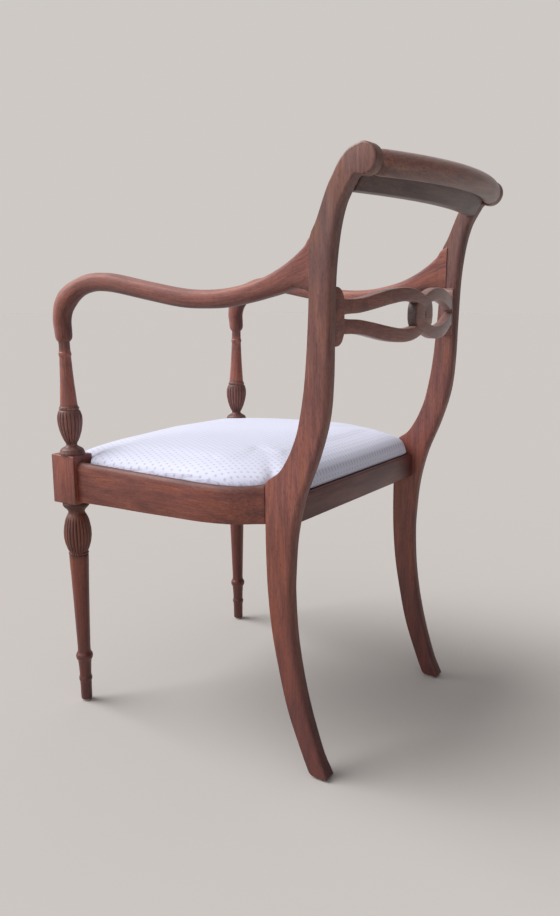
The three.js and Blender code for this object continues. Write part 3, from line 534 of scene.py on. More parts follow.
def curve_through(points, steps):
    """Points along a smooth curve that passes through each of the given points."""
    line = [Vector(point) for point in points]
    line = [2 * line[0] - line[1], *line, 2 * line[-1] - line[-2]]
    result = []
    for a, b, c, d in zip(line, line[1:], line[2:], line[3:]):
        for step in range(steps):
            t = step / steps
            result.append(0.5 * (
                2 * b + (c - a) * t + (2 * a - 5 * b + 4 * c - d) * t ** 2
                + (3 * b - a - 3 * c + d) * t ** 3
            ))
    return [*result, line[-2]]


# Back posts

FRAME_LENGTH = 388
POST_SWEEP = 151
POST_THICKNESS = 22
POST_LEAN = 0.017
FOOT_SPREAD = 379.8
SCROLL_RADIUS = 19.9
RAIL_TOP = 436
GLIDE_THICKNESS = 3
REAR_ARRIS = 7
FRONT_ARRIS = 1.5
SCROLL_ARRIS = 3
ARRIS_STEPS = 5
REAR_PAINTED_SHADE = 0.3
FOOT_ROUND = 7
FOOT_FADE = 30

# Side outline: (share of the way down from the rail top (minus) or up to the top, share of the sweep)
LOWER_FRONT_SHARES = [
    (-1, 0.48), (-0.91, 0.376), (-0.776, 0.23), (-0.637, 0.132), (-0.498, 0.056), (-0.356, 0.015),
    (-0.215, 0.002), (-0.058, 0.003), (0.005, 0.009),
]
KNEE_FRONT_SHARES = [
    (0.005, 0.009), (0.0175, 0.018), (0.0325, 0.07), (0.0561, 0.169), (0.0973, 0.254), (0.1365, 0.313),
    (0.1934, 0.376), (0.2876, 0.434), (0.376, 0.467), (0.4937, 0.493), (0.582, 0.506),
    (0.6939, 0.511), (0.7586, 0.523), (0.8057, 0.591), (0.8842, 0.687), (0.9451, 0.784),
    (0.9745, 0.856), (0.9892, 0.918), (1, 1.015),
]
REAR_SHARES = [
    (0.9097, 0.935), (0.8646, 0.858), (0.8293, 0.817), (0.7567, 0.767), (0.6468, 0.729),
    (0.4966, 0.715), (0.3426, 0.704), (0.2248, 0.666), (0.1031, 0.558), (-0.0213, 0.411),
    (-0.1538, 0.32), (-0.2863, 0.285), (-0.37, 0.279), (-0.5066, 0.303), (-0.6391, 0.362),
    (-0.7676, 0.451), (-0.896, 0.57), (-1, 0.685),
]
SCROLL_SWEEP_SHARE = 1.025
SCROLL_START, SCROLL_END = 90, -126
SCROLL_STEPS = 30


def post_line(shares, steps):
    """(y, z) points along one edge of a post."""
    points = []
    for height, sweep_share in shares:
        stretch = RAIL_TOP if height < 0 else OVERALL_HEIGHT - RAIL_TOP
        points.append((
            FRAME_LENGTH + POST_SWEEP * sweep_share,
            max(RAIL_TOP + stretch * height, GLIDE_THICKNESS),
        ))
    return curve_through(points, steps)


POST_FRONT = post_line(LOWER_FRONT_SHARES, 5) + post_line(KNEE_FRONT_SHARES, 4)[1:]
POST_REAR = post_line(REAR_SHARES, 5)
FRONT_TABLE = sorted((point.y, point.x) for point in POST_FRONT)
REAR_TABLE = sorted((point.y, point.x) for point in POST_REAR)


def inner_face(z):
    return FOOT_SPREAD / 2 + POST_LEAN * z


def post_outline():
    """(y, z) round a post's side: up the front, round the scroll and down the rear to the foot."""
    scroll = []
    for step in range(1, SCROLL_STEPS):
        angle = math.radians(SCROLL_START + (SCROLL_END - SCROLL_START) * step / SCROLL_STEPS)
        scroll.append(Vector((
            FRAME_LENGTH + POST_SWEEP * SCROLL_SWEEP_SHARE + SCROLL_RADIUS * math.cos(angle),
            OVERALL_HEIGHT - SCROLL_RADIUS + SCROLL_RADIUS * math.sin(angle),
        )))
    toe = turned_corner(POST_REAR[-1], POST_FRONT[0], POST_FRONT[3])
    heel = turned_corner(POST_REAR[-4], POST_REAR[-1], POST_FRONT[0])
    return toe + POST_FRONT[3:] + scroll + POST_REAR[:-3] + heel


def turned_corner(before, corner, after, steps=6):
    """Points round a corner of the foot, worn to a curve."""
    start = corner + (before - corner).normalized() * FOOT_ROUND
    end = corner + (after - corner).normalized() * FOOT_ROUND
    points = []
    for step in range(steps + 1):
        t = step / steps
        points.append(start * (1 - t) ** 2 + corner * 2 * t * (1 - t) + end * t ** 2)
    return points


def post_arris(y, z):
    """Radius along an edge of a post: well worn at the rear, crisp in front, below and on the scroll."""
    if z > OVERALL_HEIGHT - 2.2 * SCROLL_RADIUS:
        return SCROLL_ARRIS
    middle = (look_up(FRONT_TABLE, z) + look_up(REAR_TABLE, z)) / 2
    above_foot = max((z - GLIDE_THICKNESS) / FOOT_FADE, 0)
    back = min(max(0.5 + (y - middle) / FOOT_ROUND / 2, 0), above_foot, 1)
    rise = (z - OVERALL_HEIGHT + 4.2 * SCROLL_RADIUS) / (2 * SCROLL_RADIUS)
    rear = REAR_ARRIS + (SCROLL_ARRIS - REAR_ARRIS) * min(max(rise, 0), 1)
    return FRONT_ARRIS + (rear - FRONT_ARRIS) * back


def back_posts(material):
    outline = post_outline()
    inward = []
    for number, point in enumerate(outline):
        along = outline[(number + 1) % len(outline)] - outline[number - 1]
        inward.append(Vector((along.y, -along.x)).normalized())
    quarter = [math.pi / 2 * step / ARRIS_STEPS for step in range(ARRIS_STEPS + 1)]
    corners = [(angle, 1) for angle in quarter] + [(angle, -1) for angle in reversed(quarter)]
    rings, shade_and_dirt = [], []
    for angle, side in corners:
        ring, shade_and_dust = [], []
        for point, normal in zip(outline, inward):
            radius = post_arris(point.x, point.y)
            spot = point + normal * radius * (1 - math.sin(angle))
            depth = radius * (1 - math.cos(angle))
            across = depth if side > 0 else POST_THICKNESS - depth
            ring.append(place(inner_face(spot.y) + across, spot.x, spot.y))
            # Painted shade: the rear faces and rear arrises, turned away from the light, are darker
            shade_and_dust.append(REAR_PAINTED_SHADE * math.sin(angle) if radius > (FRONT_ARRIS + SCROLL_ARRIS) / 2 else 0)
        rings.append(ring)
        shade_and_dirt.append(shade_and_dust)
    post = sweep("back_post_left_wood", rings, shade_and_dirt=shade_and_dirt)
    smooth(post, 50)
    fit_pair(post, "back_post", material)


# Front legs: an ovolo and a reeded bulb over a tapering turned leg with two rings

BLOCK_WIDTH = 42
BLOCK_REAR = 21.8
BLOCK_TOP = 446.4
BLOCK_BOTTOM = 364
BLOCK_ARRIS = 1.1
FACETS_PER_REED = 8
REED_DEPTH = 1.7
REED_PAINTED_SHADE = 0.12

# (height, radius); a point that comes twice is a sharp corner
LEG_PROFILE = [
    (3, 8.6), (4, 9.3), (7, 9.6), (25, 9.8), (35, 10.1), (37.5, 10.3), (37.5, 10.3), (39, 11.1),
    (41.5, 11.5), (44, 11.3), (46, 10.6), (46, 10.6), (49, 10.1), (56, 10.3), (66, 10.8), (75, 11.6),
    (77, 12), (77, 12), (79, 13.4), (82, 14.4), (85, 14.6), (88, 13.9), (90.5, 12.4), (90.5, 12.4),
    (93, 11.5), (99, 11), (110, 11.2), (147, 12.3), (184, 13.4), (220, 14.6), (257, 16.1),
    (270, 16.4), (270, 16.4), (271, 15.4), (277, 15.6), (278.2, 16.6), (278.2, 16.6), (282, 18.4),
    (288, 20.3), (294, 22), (303, 23.3), (312, 23.3), (320, 22.4), (331, 20.2), (338, 17.7),
    (342, 15.6), (345, 14), (345, 14), (347, 13.8), (349, 14.4), (352, 16.4), (355.5, 20), (359, 22.3),
    (362, 22.4), (364, 21.5), (364.2, 21.4), (366, 15),
]
LEG_REED_COUNT = 24
LEG_REEDS = (278.2, 340)
# Painted shade with old polish by height: darker in the necks, under the rings and under the block
LEG_SHADE_AND_DIRT = [(262, 0), (272, 0.8), (280, 0.3), (300, 0), (335, 0.2), (350, 0.7), (364, 1)]
LEG_BEADS = {"level": 273.8, "ring": 15.4, "count": 25, "radius": 1.9}


def turned_profile(profile, steps=3):
    """A turner's outline through its points, smooth between the corners."""
    stretches = [[profile[0]]]
    for point, after in zip(profile[1:], profile[2:] + [None]):
        stretches[-1].append(point)
        if point == after:
            stretches.append([])
    line = []
    for stretch in stretches:
        line += curve_through(stretch, steps) if len(stretch) > 1 else [Vector(p) for p in stretch]
    return line


def reed_cut(turn, count):
    """Share of a reed's depth that its surface lies inside the turned bulb, part of the way round."""
    across = 2 * ((turn * count) % 1) - 1
    return 1 - math.sqrt(max(1 - across ** 2, 0))


def turned(name, profile, axis, count, reeds, shade_and_grime):
    """A turned piece about axis(z), carved with a count of reeds between two heights."""
    facets = count * FACETS_PER_REED
    low, high = reeds
    rings, shade_and_dirt = [], []
    for z, radius in turned_profile(profile):
        height_ramp = math.sin(max(0, min((z - low) / 3, (high - z) / 12, 1)) * math.pi / 2)
        x, y = axis(z)
        ring, shade_and_dust = [], []
        for step in range(facets):
            angle = 2 * math.pi * step / facets
            cut = reed_cut(step / facets, count) * height_ramp
            reach = radius - cut * REED_DEPTH
            ring.append(place(x + reach * math.cos(angle), y + reach * math.sin(angle), z))
            # Painted shade: darker in the reed grooves and over the reeded bulb, added to the table by
            # height
            shade_and_dust.append(min(REED_PAINTED_SHADE * height_ramp + cut + look_up(shade_and_grime, z), 1))
        rings.append(ring)
        shade_and_dirt.append(shade_and_dust)
    return sweep(name, rings, shade_and_dirt=shade_and_dirt)


def bead_ring(x, y, level, ring, count, radius):
    """A row of small round beads carved round a turned neck."""
    beads = []
    for step in range(count):
        angle = 2 * math.pi * step / count
        deselect_all()
        bpy.ops.mesh.primitive_ico_sphere_add(
            subdivisions=2, radius=radius * MM,
            location=place(x + ring * math.cos(angle), y + ring * math.sin(angle), level),
        )
        bpy.ops.object.transform_apply(location=True)
        beads.append(bpy.context.object)
    return smooth(joined(*beads), 60)


def block_part(name, front, rear):
    sides = (LEG_X - BLOCK_WIDTH / 2, LEG_X + BLOCK_WIDTH / 2)
    corners = [(sides[0], front), (sides[1], front), (sides[1], rear), (sides[0], rear)]
    part = sweep(name, [[place(x, y, z) for x, y in corners] for z in (BLOCK_BOTTOM, BLOCK_TOP)])
    ease(part, BLOCK_ARRIS)
    return smooth(part)


def front_legs(material):
    leg = turned(
        "front_leg_left_wood", LEG_PROFILE, lambda z: (LEG_X, 0), LEG_REED_COUNT, LEG_REEDS, LEG_SHADE_AND_DIRT,
    )
    smooth(leg, 40)
    beads = bead_ring(LEG_X, 0, **LEG_BEADS)
    block = block_part("block", -BLOCK_FRONT, BLOCK_REAR)
    fit_pair(joined(leg, beads, block), "front_leg", material)


# Arm supports: an ogee foot, a reeded bulb, a collar and a tapering shaft that leans outwards

SUPPORT_X = LEG_X + 3
SUPPORT_Y = 1
SUPPORT_SPLAY = 4.6
SUPPORT_TOP = 634
SUPPORT_PROFILE = [
    (446.6, 20.3), (447.4, 20.8), (450, 20.9), (451.5, 20.2), (451.5, 20.2), (453, 19.6), (455, 18.8),
    (456.6, 17), (458, 14.8), (459.6, 12), (461.5, 9.6), (463, 9), (463, 9), (465.5, 9.4), (468, 10.9),
    (472, 12.9), (478, 15.3), (485, 17.6), (491, 19), (496, 19.9), (503, 20.6), (509, 20.5),
    (513, 19.9), (517, 18.8), (520, 17.6), (520, 17.6), (521.5, 16), (524.5, 15.9), (526.8, 15.6),
    (526.8, 15.6), (527.8, 14.7), (530, 14.2), (535, 13.8), (550, 12.7), (568, 11.4), (585, 10.5),
    (601, 9.8), (609.5, 9.5), (609.5, 9.5), (611, 10.2), (613.5, 10.4), (616, 10.1), (617, 9.5),
    (617, 9.5), (620, 9.2), (627, 9), (634.6, 9),
]
SUPPORT_REED_COUNT = 20
SUPPORT_REEDS = (463.5, 520.5)
# Painted shade with old polish by height: darker on the foot, in the necks and under the collar and rings
SUPPORT_SHADE_AND_DIRT = [
    (446, 0.7), (461, 0.7), (466, 0.4), (475, 0.2), (505, 0.2), (520, 0.7), (527, 0.7), (532, 0), (594, 0),
    (598, 0.6), (602, 0), (618, 0), (624, 0.6),
]
SUPPORT_BEADS = {"level": 524.2, "ring": 15.6, "count": 36, "radius": 1.25}


def support_axis(z):
    return SUPPORT_X + SUPPORT_SPLAY * (z - BLOCK_TOP) / (SUPPORT_TOP - BLOCK_TOP), SUPPORT_Y


def arm_supports(material):
    support = turned(
        "arm_support_left_wood", SUPPORT_PROFILE, support_axis, SUPPORT_REED_COUNT, SUPPORT_REEDS,
        SUPPORT_SHADE_AND_DIRT,
    )
    smooth(support, 40)
    beads = bead_ring(*support_axis(SUPPORT_BEADS["level"]), **SUPPORT_BEADS)
    fit_pair(joined(support, beads), "arm_support", material)


# Arms: square where they meet the posts, then round, turning down over the supports

ARM_LOW = RAIL_TOP + (OVERALL_HEIGHT - RAIL_TOP) * 0.585
ARM_RISE = 26.5
ARM_HALF_WIDTH = 12.5
ARM_X = SUPPORT_X + SUPPORT_SPLAY
ARM_REACH = look_up(FRONT_TABLE, ARM_LOW) - SUPPORT_Y
ARM_SIDES = 32
UNDERSIDE_PAINTED_SHADE = 0.7

# Outer and inner edge in side view, as shares of the reach and of the rise, then the share of the way
# from the post's half width to the arm's own, then how square the section is
ARM_SHARES = [
    (1.026, 3.21, 1.026, 0.3, 0, 9), (1, 2.95, 1, 0.31, 0, 9), (0.989, 2.65, 0.989, 0.38, 0.1, 8),
    (0.976, 2.42, 0.976, 0.45, 0.3, 7), (0.946, 2.02, 0.946, 0.48, 0.6, 5),
    (0.907, 1.6, 0.907, 0.275, 1, 4), (0.853, 1.16, 0.853, 0.04, 1, 3.3),
    (0.795, 0.85, 0.795, -0.19, 1, 2.8), (0.709, 0.57, 0.709, -0.45, 1, 2.5),
    (0.6185, 0.49, 0.6185, -0.51, 1, 2.4), (0.526, 0.61, 0.526, -0.44, 1, 2.4),
    (0.394, 1, 0.394, -0.06, 1, 2.4), (0.259, 1.44, 0.259, 0.36, 1, 2.4),
    (0.1875, 1.53, 0.1875, 0.47, 1, 2.3), (0.151, 1.506, 0.147, 0.42, 1.1, 2.2),
    (0.114, 1.407, 0.11, 0.25, 1.3, 2.1), (0.075, 1.2, 0.089, 0.05, 1.8, 2),
    (0.037, 0.93, 0.071, -0.19, 2.2, 2), (0.014, 0.68, 0.058, -0.42, 2.45, 2),
    (-0.004, 0.42, 0.0485, -0.6, 2.6, 2), (-0.027, -0.26, 0.0366, -0.9, 2.6, 2),
    (-0.036, -1.24, 0.029, -1.32, 2.4, 2), (-0.032, -1.85, 0.03, -1.85, 2.1, 2),
    (-0.0302, -2.2, 0.0302, -2.2, 1.85, 2), (-0.028, -2.36, 0.028, -2.36, 1.3, 2),
    (-0.0235, -2.47, 0.0235, -2.47, 0.25, 2), (-0.0205, -2.53, 0.0205, -2.53, -0.6, 2),
]


def arms(material):
    post_half = POST_THICKNESS / 2 - 0.05
    post_x = inner_face(ARM_LOW) + POST_THICKNESS / 2
    rings, grain, shade_and_dirt = [], [], []
    travel, last = 0, None
    for outer_reach, outer_rise, inner_reach, inner_rise, width, square in curve_through(ARM_SHARES, 4):
        outer = Vector((ARM_REACH * outer_reach, ARM_RISE * outer_rise))
        inner = Vector((ARM_REACH * inner_reach, ARM_RISE * inner_rise))
        middle, half = (outer + inner) / 2, (outer - inner) / 2
        travel += (middle - last).length if last else 0
        last = middle
        along = max((outer_reach + inner_reach) / 2, 0)
        x = ARM_X + (post_x - ARM_X) * along
        half_width = post_half + (ARM_HALF_WIDTH - post_half) * width
        ring, fibres, shade_and_dust = [], [], []
        for step in range(ARM_SIDES):
            angle = 2 * math.pi * step / ARM_SIDES
            across, up = (
                math.copysign(abs(value) ** (2 / square), value)
                for value in (math.cos(angle), math.sin(angle))
            )
            ring.append(place(
                x + half_width * across,
                SUPPORT_Y + middle.x + half.x * up,
                ARM_LOW + middle.y + half.y * up,
            ))
            fibres.append(Vector((half_width * across, travel, half.length * up)) * MM)
            # Painted shade: the lower half of the arm's section is darker
            shade_and_dust.append(UNDERSIDE_PAINTED_SHADE * max(-up, 0))
        rings.append(ring)
        grain.append(fibres)
        shade_and_dirt.append(shade_and_dust)
    arm = sweep("arm_left_wood", rings, grain=grain, shade_and_dirt=shade_and_dirt)
    smooth(arm, 50)
    fit_pair(arm, "arm", material)


# Rails

REBATE_FLOOR = 421.5
RAIL_DROP = 68
SIDE_RAIL_RISE = 13.4
RAIL_BOW = 25.6
SIDE_RAIL_INSET = 7
RAIL_FRONT_THICKNESS = 26
RAIL_REAR_THICKNESS = 20
LIP_WIDTH = 7.6
LIP_ROUND_HEIGHT = 10
LIP_STEPS = 8
LIP_RISE = 5
LIP_DUST = 0.8
LIP_RISE_SHARES = [(0.9, 0), (0.94, 0.12), (0.97, 0.45), (1, 1)]
BOW_SHARES = [
    (0, 0), (0.075, 0.07), (0.156, 0.165), (0.249, 0.3), (0.34, 0.47), (0.47, 0.67), (0.58, 0.8),
    (0.7, 0.97), (0.76, 1), (0.82, 0.95), (0.88, 0.8), (0.93, 0.49), (0.97, 0.18), (1, 0),
]
FRONT_RAIL_THICKNESS = 22
FRONT_RAIL_SETBACK = 3
BACK_RAIL_THICKNESS = 20
BACK_RAIL_HEIGHT = 41.2
BACK_RAIL_OFFSET = 17
RAIL_START = BLOCK_REAR + 0.1
RAIL_LENGTH = FRAME_LENGTH - RAIL_START


def rail_outer(share):
    front = LEG_X + BLOCK_WIDTH / 2 - SIDE_RAIL_INSET
    rear = inner_face(REBATE_FLOOR) + POST_THICKNESS - 0.3
    return front + (rear - front) * share


def rail_section(thickness, bottom, rise=0):
    """(distance in from the outer face, height) round a rail with a seat rebate and a rounded lip."""
    lip = []
    for step in range(LIP_STEPS + 1):
        angle = math.pi / 2 * step / LIP_STEPS
        lip.append((
            LIP_WIDTH * (1 - math.cos(angle)),
            RAIL_TOP + rise - LIP_ROUND_HEIGHT * (1 - math.sin(angle)),
        ))
    return [
        (0, bottom), *lip, (LIP_WIDTH, REBATE_FLOOR), (thickness, REBATE_FLOOR), (thickness, bottom),
    ]


def side_rails(material):
    bows = curve_through(BOW_SHARES, 4)
    lip_dirt = [LIP_DUST * step / LIP_STEPS for step in range(LIP_STEPS + 1)]
    rings = []
    for share, bow in bows:
        thickness = RAIL_FRONT_THICKNESS + (RAIL_REAR_THICKNESS - RAIL_FRONT_THICKNESS) * share
        bottom = RAIL_TOP - RAIL_DROP + SIDE_RAIL_RISE * share
        outer = rail_outer(share) + RAIL_BOW * bow
        rings.append([
            place(outer - depth, RAIL_START + RAIL_LENGTH * share, z)
            for depth, z in rail_section(thickness, bottom, look_up(LIP_RISE_SHARES, share) * LIP_RISE)
        ])
    rail = sweep("side_rail_left_wood", rings, shade_and_dirt=[[0, *lip_dirt, 0, 0, 0]] * len(rings))
    ease(rail, 0.9, segments=2, angle=50)
    smooth(rail, 40)
    fit_pair(rail, "side_rail", material)


def front_rail(material):
    face = FRONT_RAIL_SETBACK - BLOCK_FRONT
    reach = LEG_X - BLOCK_WIDTH / 2 - 0.1
    section = rail_section(FRONT_RAIL_THICKNESS, RAIL_TOP - RAIL_DROP)
    rail = sweep("front_rail_wood", [[place(x, face + depth, z) for depth, z in section]
                                     for x in (-reach, reach)])
    ease(rail, 0.9, segments=2, angle=50)
    smooth(rail, 40)
    fit(rail, material, "chair_frame", "mahogany", "front_rail")


def back_rail(material):
    front = FRAME_LENGTH + BACK_RAIL_OFFSET
    rear = front + BACK_RAIL_THICKNESS
    bottom = REBATE_FLOOR - BACK_RAIL_HEIGHT
    section = [(front, bottom), (front, REBATE_FLOOR), (rear, REBATE_FLOOR), (rear, bottom)]
    rail = sweep("back_rail_wood", [
        [place(side * (inner_face(z) - 0.1), y, z) for y, z in section] for side in (-1, 1)
    ])
    ease(rail, 2.5)
    smooth(rail, 40)
    fit(rail, material, "chair_frame", "mahogany", "back_rail")


# Crest rail: a roll with eased ends over a leaning skirt, both bowed to the rear

ROLL_RADIUS = 16.5
ROLL_Z = OVERALL_HEIGHT - 22.4
ROLL_END_Y = FRAME_LENGTH + POST_SWEEP + 9
ROLL_MIDDLE_Y = FRAME_LENGTH + POST_SWEEP + 47
ROLL_END_WIDTH = 13
ROLL_END_EASE = 9
ROLL_SIDES = 40
SKIRT_TOP_Y = FRAME_LENGTH + POST_SWEEP + 16
SKIRT_BOW = 31
SKIRT_HEIGHT = 32.2
SKIRT_THICKNESS = 17
SKIRT_PAINTED_SHADE = 0.85
ROLL_UNDERSIDE_PAINTED_SHADE = 0.45
CREST_STEPS = 36


def bowed(x, y, z, half_length, depth):
    return place(x, y + depth * (1 - (x / half_length) ** 2), z)


def crest_rail(material):
    roll_half = inner_face(ROLL_Z) - 0.3
    rings, shade_and_dirt = [], []
    for step in range(-CREST_STEPS, CREST_STEPS + 1):
        x = roll_half * math.sin(step / CREST_STEPS * math.pi / 2)
        past = max(abs(x) - (roll_half - ROLL_END_WIDTH), 0) / ROLL_END_WIDTH
        radius = ROLL_RADIUS - ROLL_END_EASE * (1 - math.sqrt(max(1 - past ** 2, 0)))
        ring, shade_and_dust = [], []
        for turn in range(ROLL_SIDES):
            angle = 2 * math.pi * turn / ROLL_SIDES
            # Painted shade: the lower half of the roll is darker
            shade_and_dust.append(ROLL_UNDERSIDE_PAINTED_SHADE * max(-math.sin(angle), 0))
            ring.append(bowed(
                x, ROLL_END_Y + radius * math.cos(angle), ROLL_Z + radius * math.sin(angle),
                roll_half, ROLL_MIDDLE_Y - ROLL_END_Y,
            ))
        rings.append(ring)
        shade_and_dirt.append(shade_and_dust)
    roll = sweep("crest_rail_wood", rings, shade_and_dirt=shade_and_dirt)
    smooth(roll, 60)

    lower_rear = (SKIRT_TOP_Y - 0.99 * SKIRT_HEIGHT, ROLL_Z - SKIRT_HEIGHT, 0.8)
    upper_rear = (SKIRT_TOP_Y - 0.5 * SKIRT_HEIGHT, ROLL_Z - 0.14 * SKIRT_HEIGHT, 1)
    section = [
        lower_rear, ((lower_rear[0] + upper_rear[0]) / 2, (lower_rear[1] + upper_rear[1]) / 2, 0.9),
        upper_rear, (upper_rear[0] - SKIRT_THICKNESS, upper_rear[1], 1),
        (lower_rear[0] - SKIRT_THICKNESS, lower_rear[1], 0.8),
    ]
    rings = []
    for step in range(CREST_STEPS + 1):
        across = 2 * step / CREST_STEPS - 1
        rings.append([
            bowed(across * (inner_face(z) - 0.3), y, z, inner_face(z), SKIRT_BOW * share)
            for y, z, share in section
        ])
    # Painted shade: the whole skirt, under the roll and facing away from the light, is darker
    skirt = sweep("skirt", rings, shade_and_dirt=[[SKIRT_PAINTED_SHADE] * len(section)] * len(rings))
    ease(skirt, 1.6, segments=3, angle=40)
    smooth(skirt, 40)
    fit(joined(roll, skirt), material, "chair_frame", "mahogany", "crest_rail")


# Cross splat: two carved loops that pass through each other, each with a cap against its post

SPLAT_LEVEL = RAIL_TOP + (OVERALL_HEIGHT - RAIL_TOP) * 0.532
SPLAT_HALF = 39
SPLAT_BOW = 41
SPLAT_REAR = look_up(REAR_TABLE, SPLAT_LEVEL) - 6
SPLAT_REACH = inner_face(SPLAT_LEVEL) - 0.3
BAR_THICKNESS = 16
BAR_SIDES = 24
WEAVE_DEPTH = 0.9

# (share of the way from the middle to the post, share of half the height) along the two edges of a
# loop's upper half, from its root at the post to the far side of its end
LOOP_OUTER_SHARES = [
    (0.94, 0.6), (0.92, 0.6), (0.9, 0.6), (0.86, 0.6), (0.79, 0.615), (0.704, 0.68), (0.61, 0.79),
    (0.527, 0.88), (0.45, 0.945), (0.376, 0.985), (0.31, 1), (0.25, 0.995), (0.17, 0.95),
    (0.091, 0.85), (0.02, 0.735),
    (-0.06, 0.63), (-0.12, 0.48), (-0.145, 0.26), (-0.15, 0),
]
LOOP_INNER_SHARES = [
    (0.94, 0), (0.917, 0.04), (0.895, 0.075), (0.86, 0.09), (0.78, 0.11), (0.718, 0.16), (0.63, 0.24),
    (0.524, 0.345), (0.44, 0.415), (0.37, 0.465), (0.31, 0.49), (0.25, 0.495), (0.2, 0.485),
    (0.15, 0.455), (0.1, 0.405),
    (0.06, 0.34), (0.03, 0.25), (0.008, 0.13), (0, 0),
]
WEAVE_SHARES = [(-0.14, 0), (-0.08, 0.7), (0.05, 1), (0.25, 1), (0.5, 0)]
WALL_PAINTED_SHADE_SHARES = [(-0.14, 1), (-0.03, 1), (0.05, 0)]


def on_splat(across, up, proud):
    """A point of the bowed board, proud being how far it stands towards the rear."""
    x = SPLAT_REACH * across
    return place(x, SPLAT_REAR + SPLAT_BOW * (1 - across ** 2) + proud, SPLAT_LEVEL + SPLAT_HALF * up)


def loop_edge(shares):
    """One edge of a whole loop, from its upper root round its end to its lower root."""
    return curve_through([*shares, *[(across, -up) for across, up in reversed(shares[:-1])]], 4)


def splat_loop(side):
    """One loop; the outer side of its end, inside the other loop, is painted darker as shade."""
    rings, shade_and_dirt = [], []
    for outer, inner in zip(loop_edge(LOOP_OUTER_SHARES), loop_edge(LOOP_INNER_SHARES)):
        middle, half = (outer + inner) / 2, (outer - inner) / 2
        weave = math.copysign(look_up(WEAVE_SHARES, outer.x), outer.y)
        ring, shade_and_dust = [], []
        for step in range(BAR_SIDES):
            angle = 2 * math.pi * step / BAR_SIDES
            wide, deep = (
                math.copysign(abs(value) ** 0.25, value) for value in (math.cos(angle), math.sin(angle))
            )
            spot = middle + half * wide
            proud = (deep - 1) * BAR_THICKNESS / 2 + side * weave * WEAVE_DEPTH
            ring.append(on_splat(side * spot.x, spot.y, proud))
            # Painted shade: the wall of the loop's end inside the other loop is darker
            shade_and_dust.append(look_up(WALL_PAINTED_SHADE_SHARES, outer.x) if wide > 0.95 else 0)
        rings.append(ring)
        shade_and_dirt.append(shade_and_dust)
    return smooth(sweep("loop", rings, shade_and_dirt=shade_and_dirt), 50)


CAP_SHARES = [
    (1, 1.01), (0.972, 1.005), (0.952, 0.96), (0.937, 0.87), (0.926, 0.74), (0.919, 0.6), (0.916, 0.4),
    (0.916, 0.2),
]


def splat_cap(side):
    edge = curve_through(CAP_SHARES, 3)
    outline = [*edge, *[Vector((p.x, -p.y)) for p in reversed(edge)]]
    rings = [
        [on_splat(side * across, up, proud) for across, up in outline]
        for proud in (1, -BAR_THICKNESS - 3)
    ]
    cap = sweep("cap", rings)
    ease(cap, 1.5, segments=3, angle=50)
    return smooth(cap, 40)


def cross_splat(material):
    splat = joined(*[make(side) for side in (1, -1) for make in (splat_loop, splat_cap)])
    splat.name = splat.data.name = "cross_splat_wood"
    fit(splat, material, "chair_frame", "mahogany", "cross_splat")


# Seat: a drop-in pad under a stretched cotton cover, with tucks at the corners

SEAT_GAP = 0.3
SEAT_LIP = 10
CORNER_GAP = 0.8
SEAT_CORNER_RADIUS = 12
SEAT_CORNER_DRAW = 9
SEAT_FLOOR = REBATE_FLOOR + 0.3
SEAT_EDGE = RAIL_TOP
SEAT_CROWN = 38.5
REAR_BULGE = 7
PRESSED = 1.2
PADDING_INSET = 6
TURNED_IN_SHARE = 0.93
SEAT_FRONT = FRONT_RAIL_SETBACK - BLOCK_FRONT + LIP_WIDTH + SEAT_GAP
SEAT_REAR = FRAME_LENGTH + BACK_RAIL_OFFSET + BACK_RAIL_THICKNESS - SEAT_LIP
SEAT_MIDDLE = (SEAT_FRONT + SEAT_REAR) / 2
CORNER_DRAW_SHARES = [(0, 1.2), (0.043, 1), (0.13, 0.6), (0.25, 0)]
SEAT_SIDE_SHARES = (0.035, 0.12, 0.25, 0.4, 0.55, 0.7, 0.79, 0.86, 0.91, 0.95, 0.975)
DOME_SHARES = (0.99, 0.97, 0.94, 0.89, 0.82, 0.72, 0.6, 0.45, 0.3, 0.15)
VOXEL = 6
SWELL_LIMIT = 2
SIM_FRAMES = 20
COVER_THICKNESS = 1.4
TURNED_UNDER = 22


def seat_side(share):
    return rail_outer(share) + RAIL_BOW * look_up(BOW_SHARES, share) - LIP_WIDTH - SEAT_GAP


def seat_plan():
    """Plan of the seat, notched round the blocks and between the posts."""
    beside_block = LEG_X - BLOCK_WIDTH / 2 - CORNER_GAP
    between_posts = inner_face(REBATE_FLOOR) - CORNER_GAP
    radius = SEAT_CORNER_RADIUS
    half = [
        (beside_block - radius, SEAT_FRONT), (beside_block - radius * 0.3, SEAT_FRONT + radius * 0.3),
        (beside_block, SEAT_FRONT + radius), (beside_block, BLOCK_REAR - CORNER_GAP),
        (beside_block + radius * 0.3, BLOCK_REAR + 2 * CORNER_GAP),
        *[
            (seat_side(share) - SEAT_CORNER_DRAW * look_up(CORNER_DRAW_SHARES, share),
             RAIL_START + RAIL_LENGTH * share)
            for share in SEAT_SIDE_SHARES
        ],
        (inner_face(REBATE_FLOOR) + POST_THICKNESS / 2, FRAME_LENGTH - 2 * CORNER_GAP),
        (inner_face(REBATE_FLOOR), FRAME_LENGTH - 2 * CORNER_GAP), (between_posts, FRAME_LENGTH),
        (between_posts, SEAT_REAR - radius), (between_posts - radius * 0.3, SEAT_REAR - radius * 0.3),
        (between_posts - radius, SEAT_REAR),
    ]
    return [(0, SEAT_FRONT), *half, (0, SEAT_REAR), *[(-x, y) for x, y in reversed(half)]]


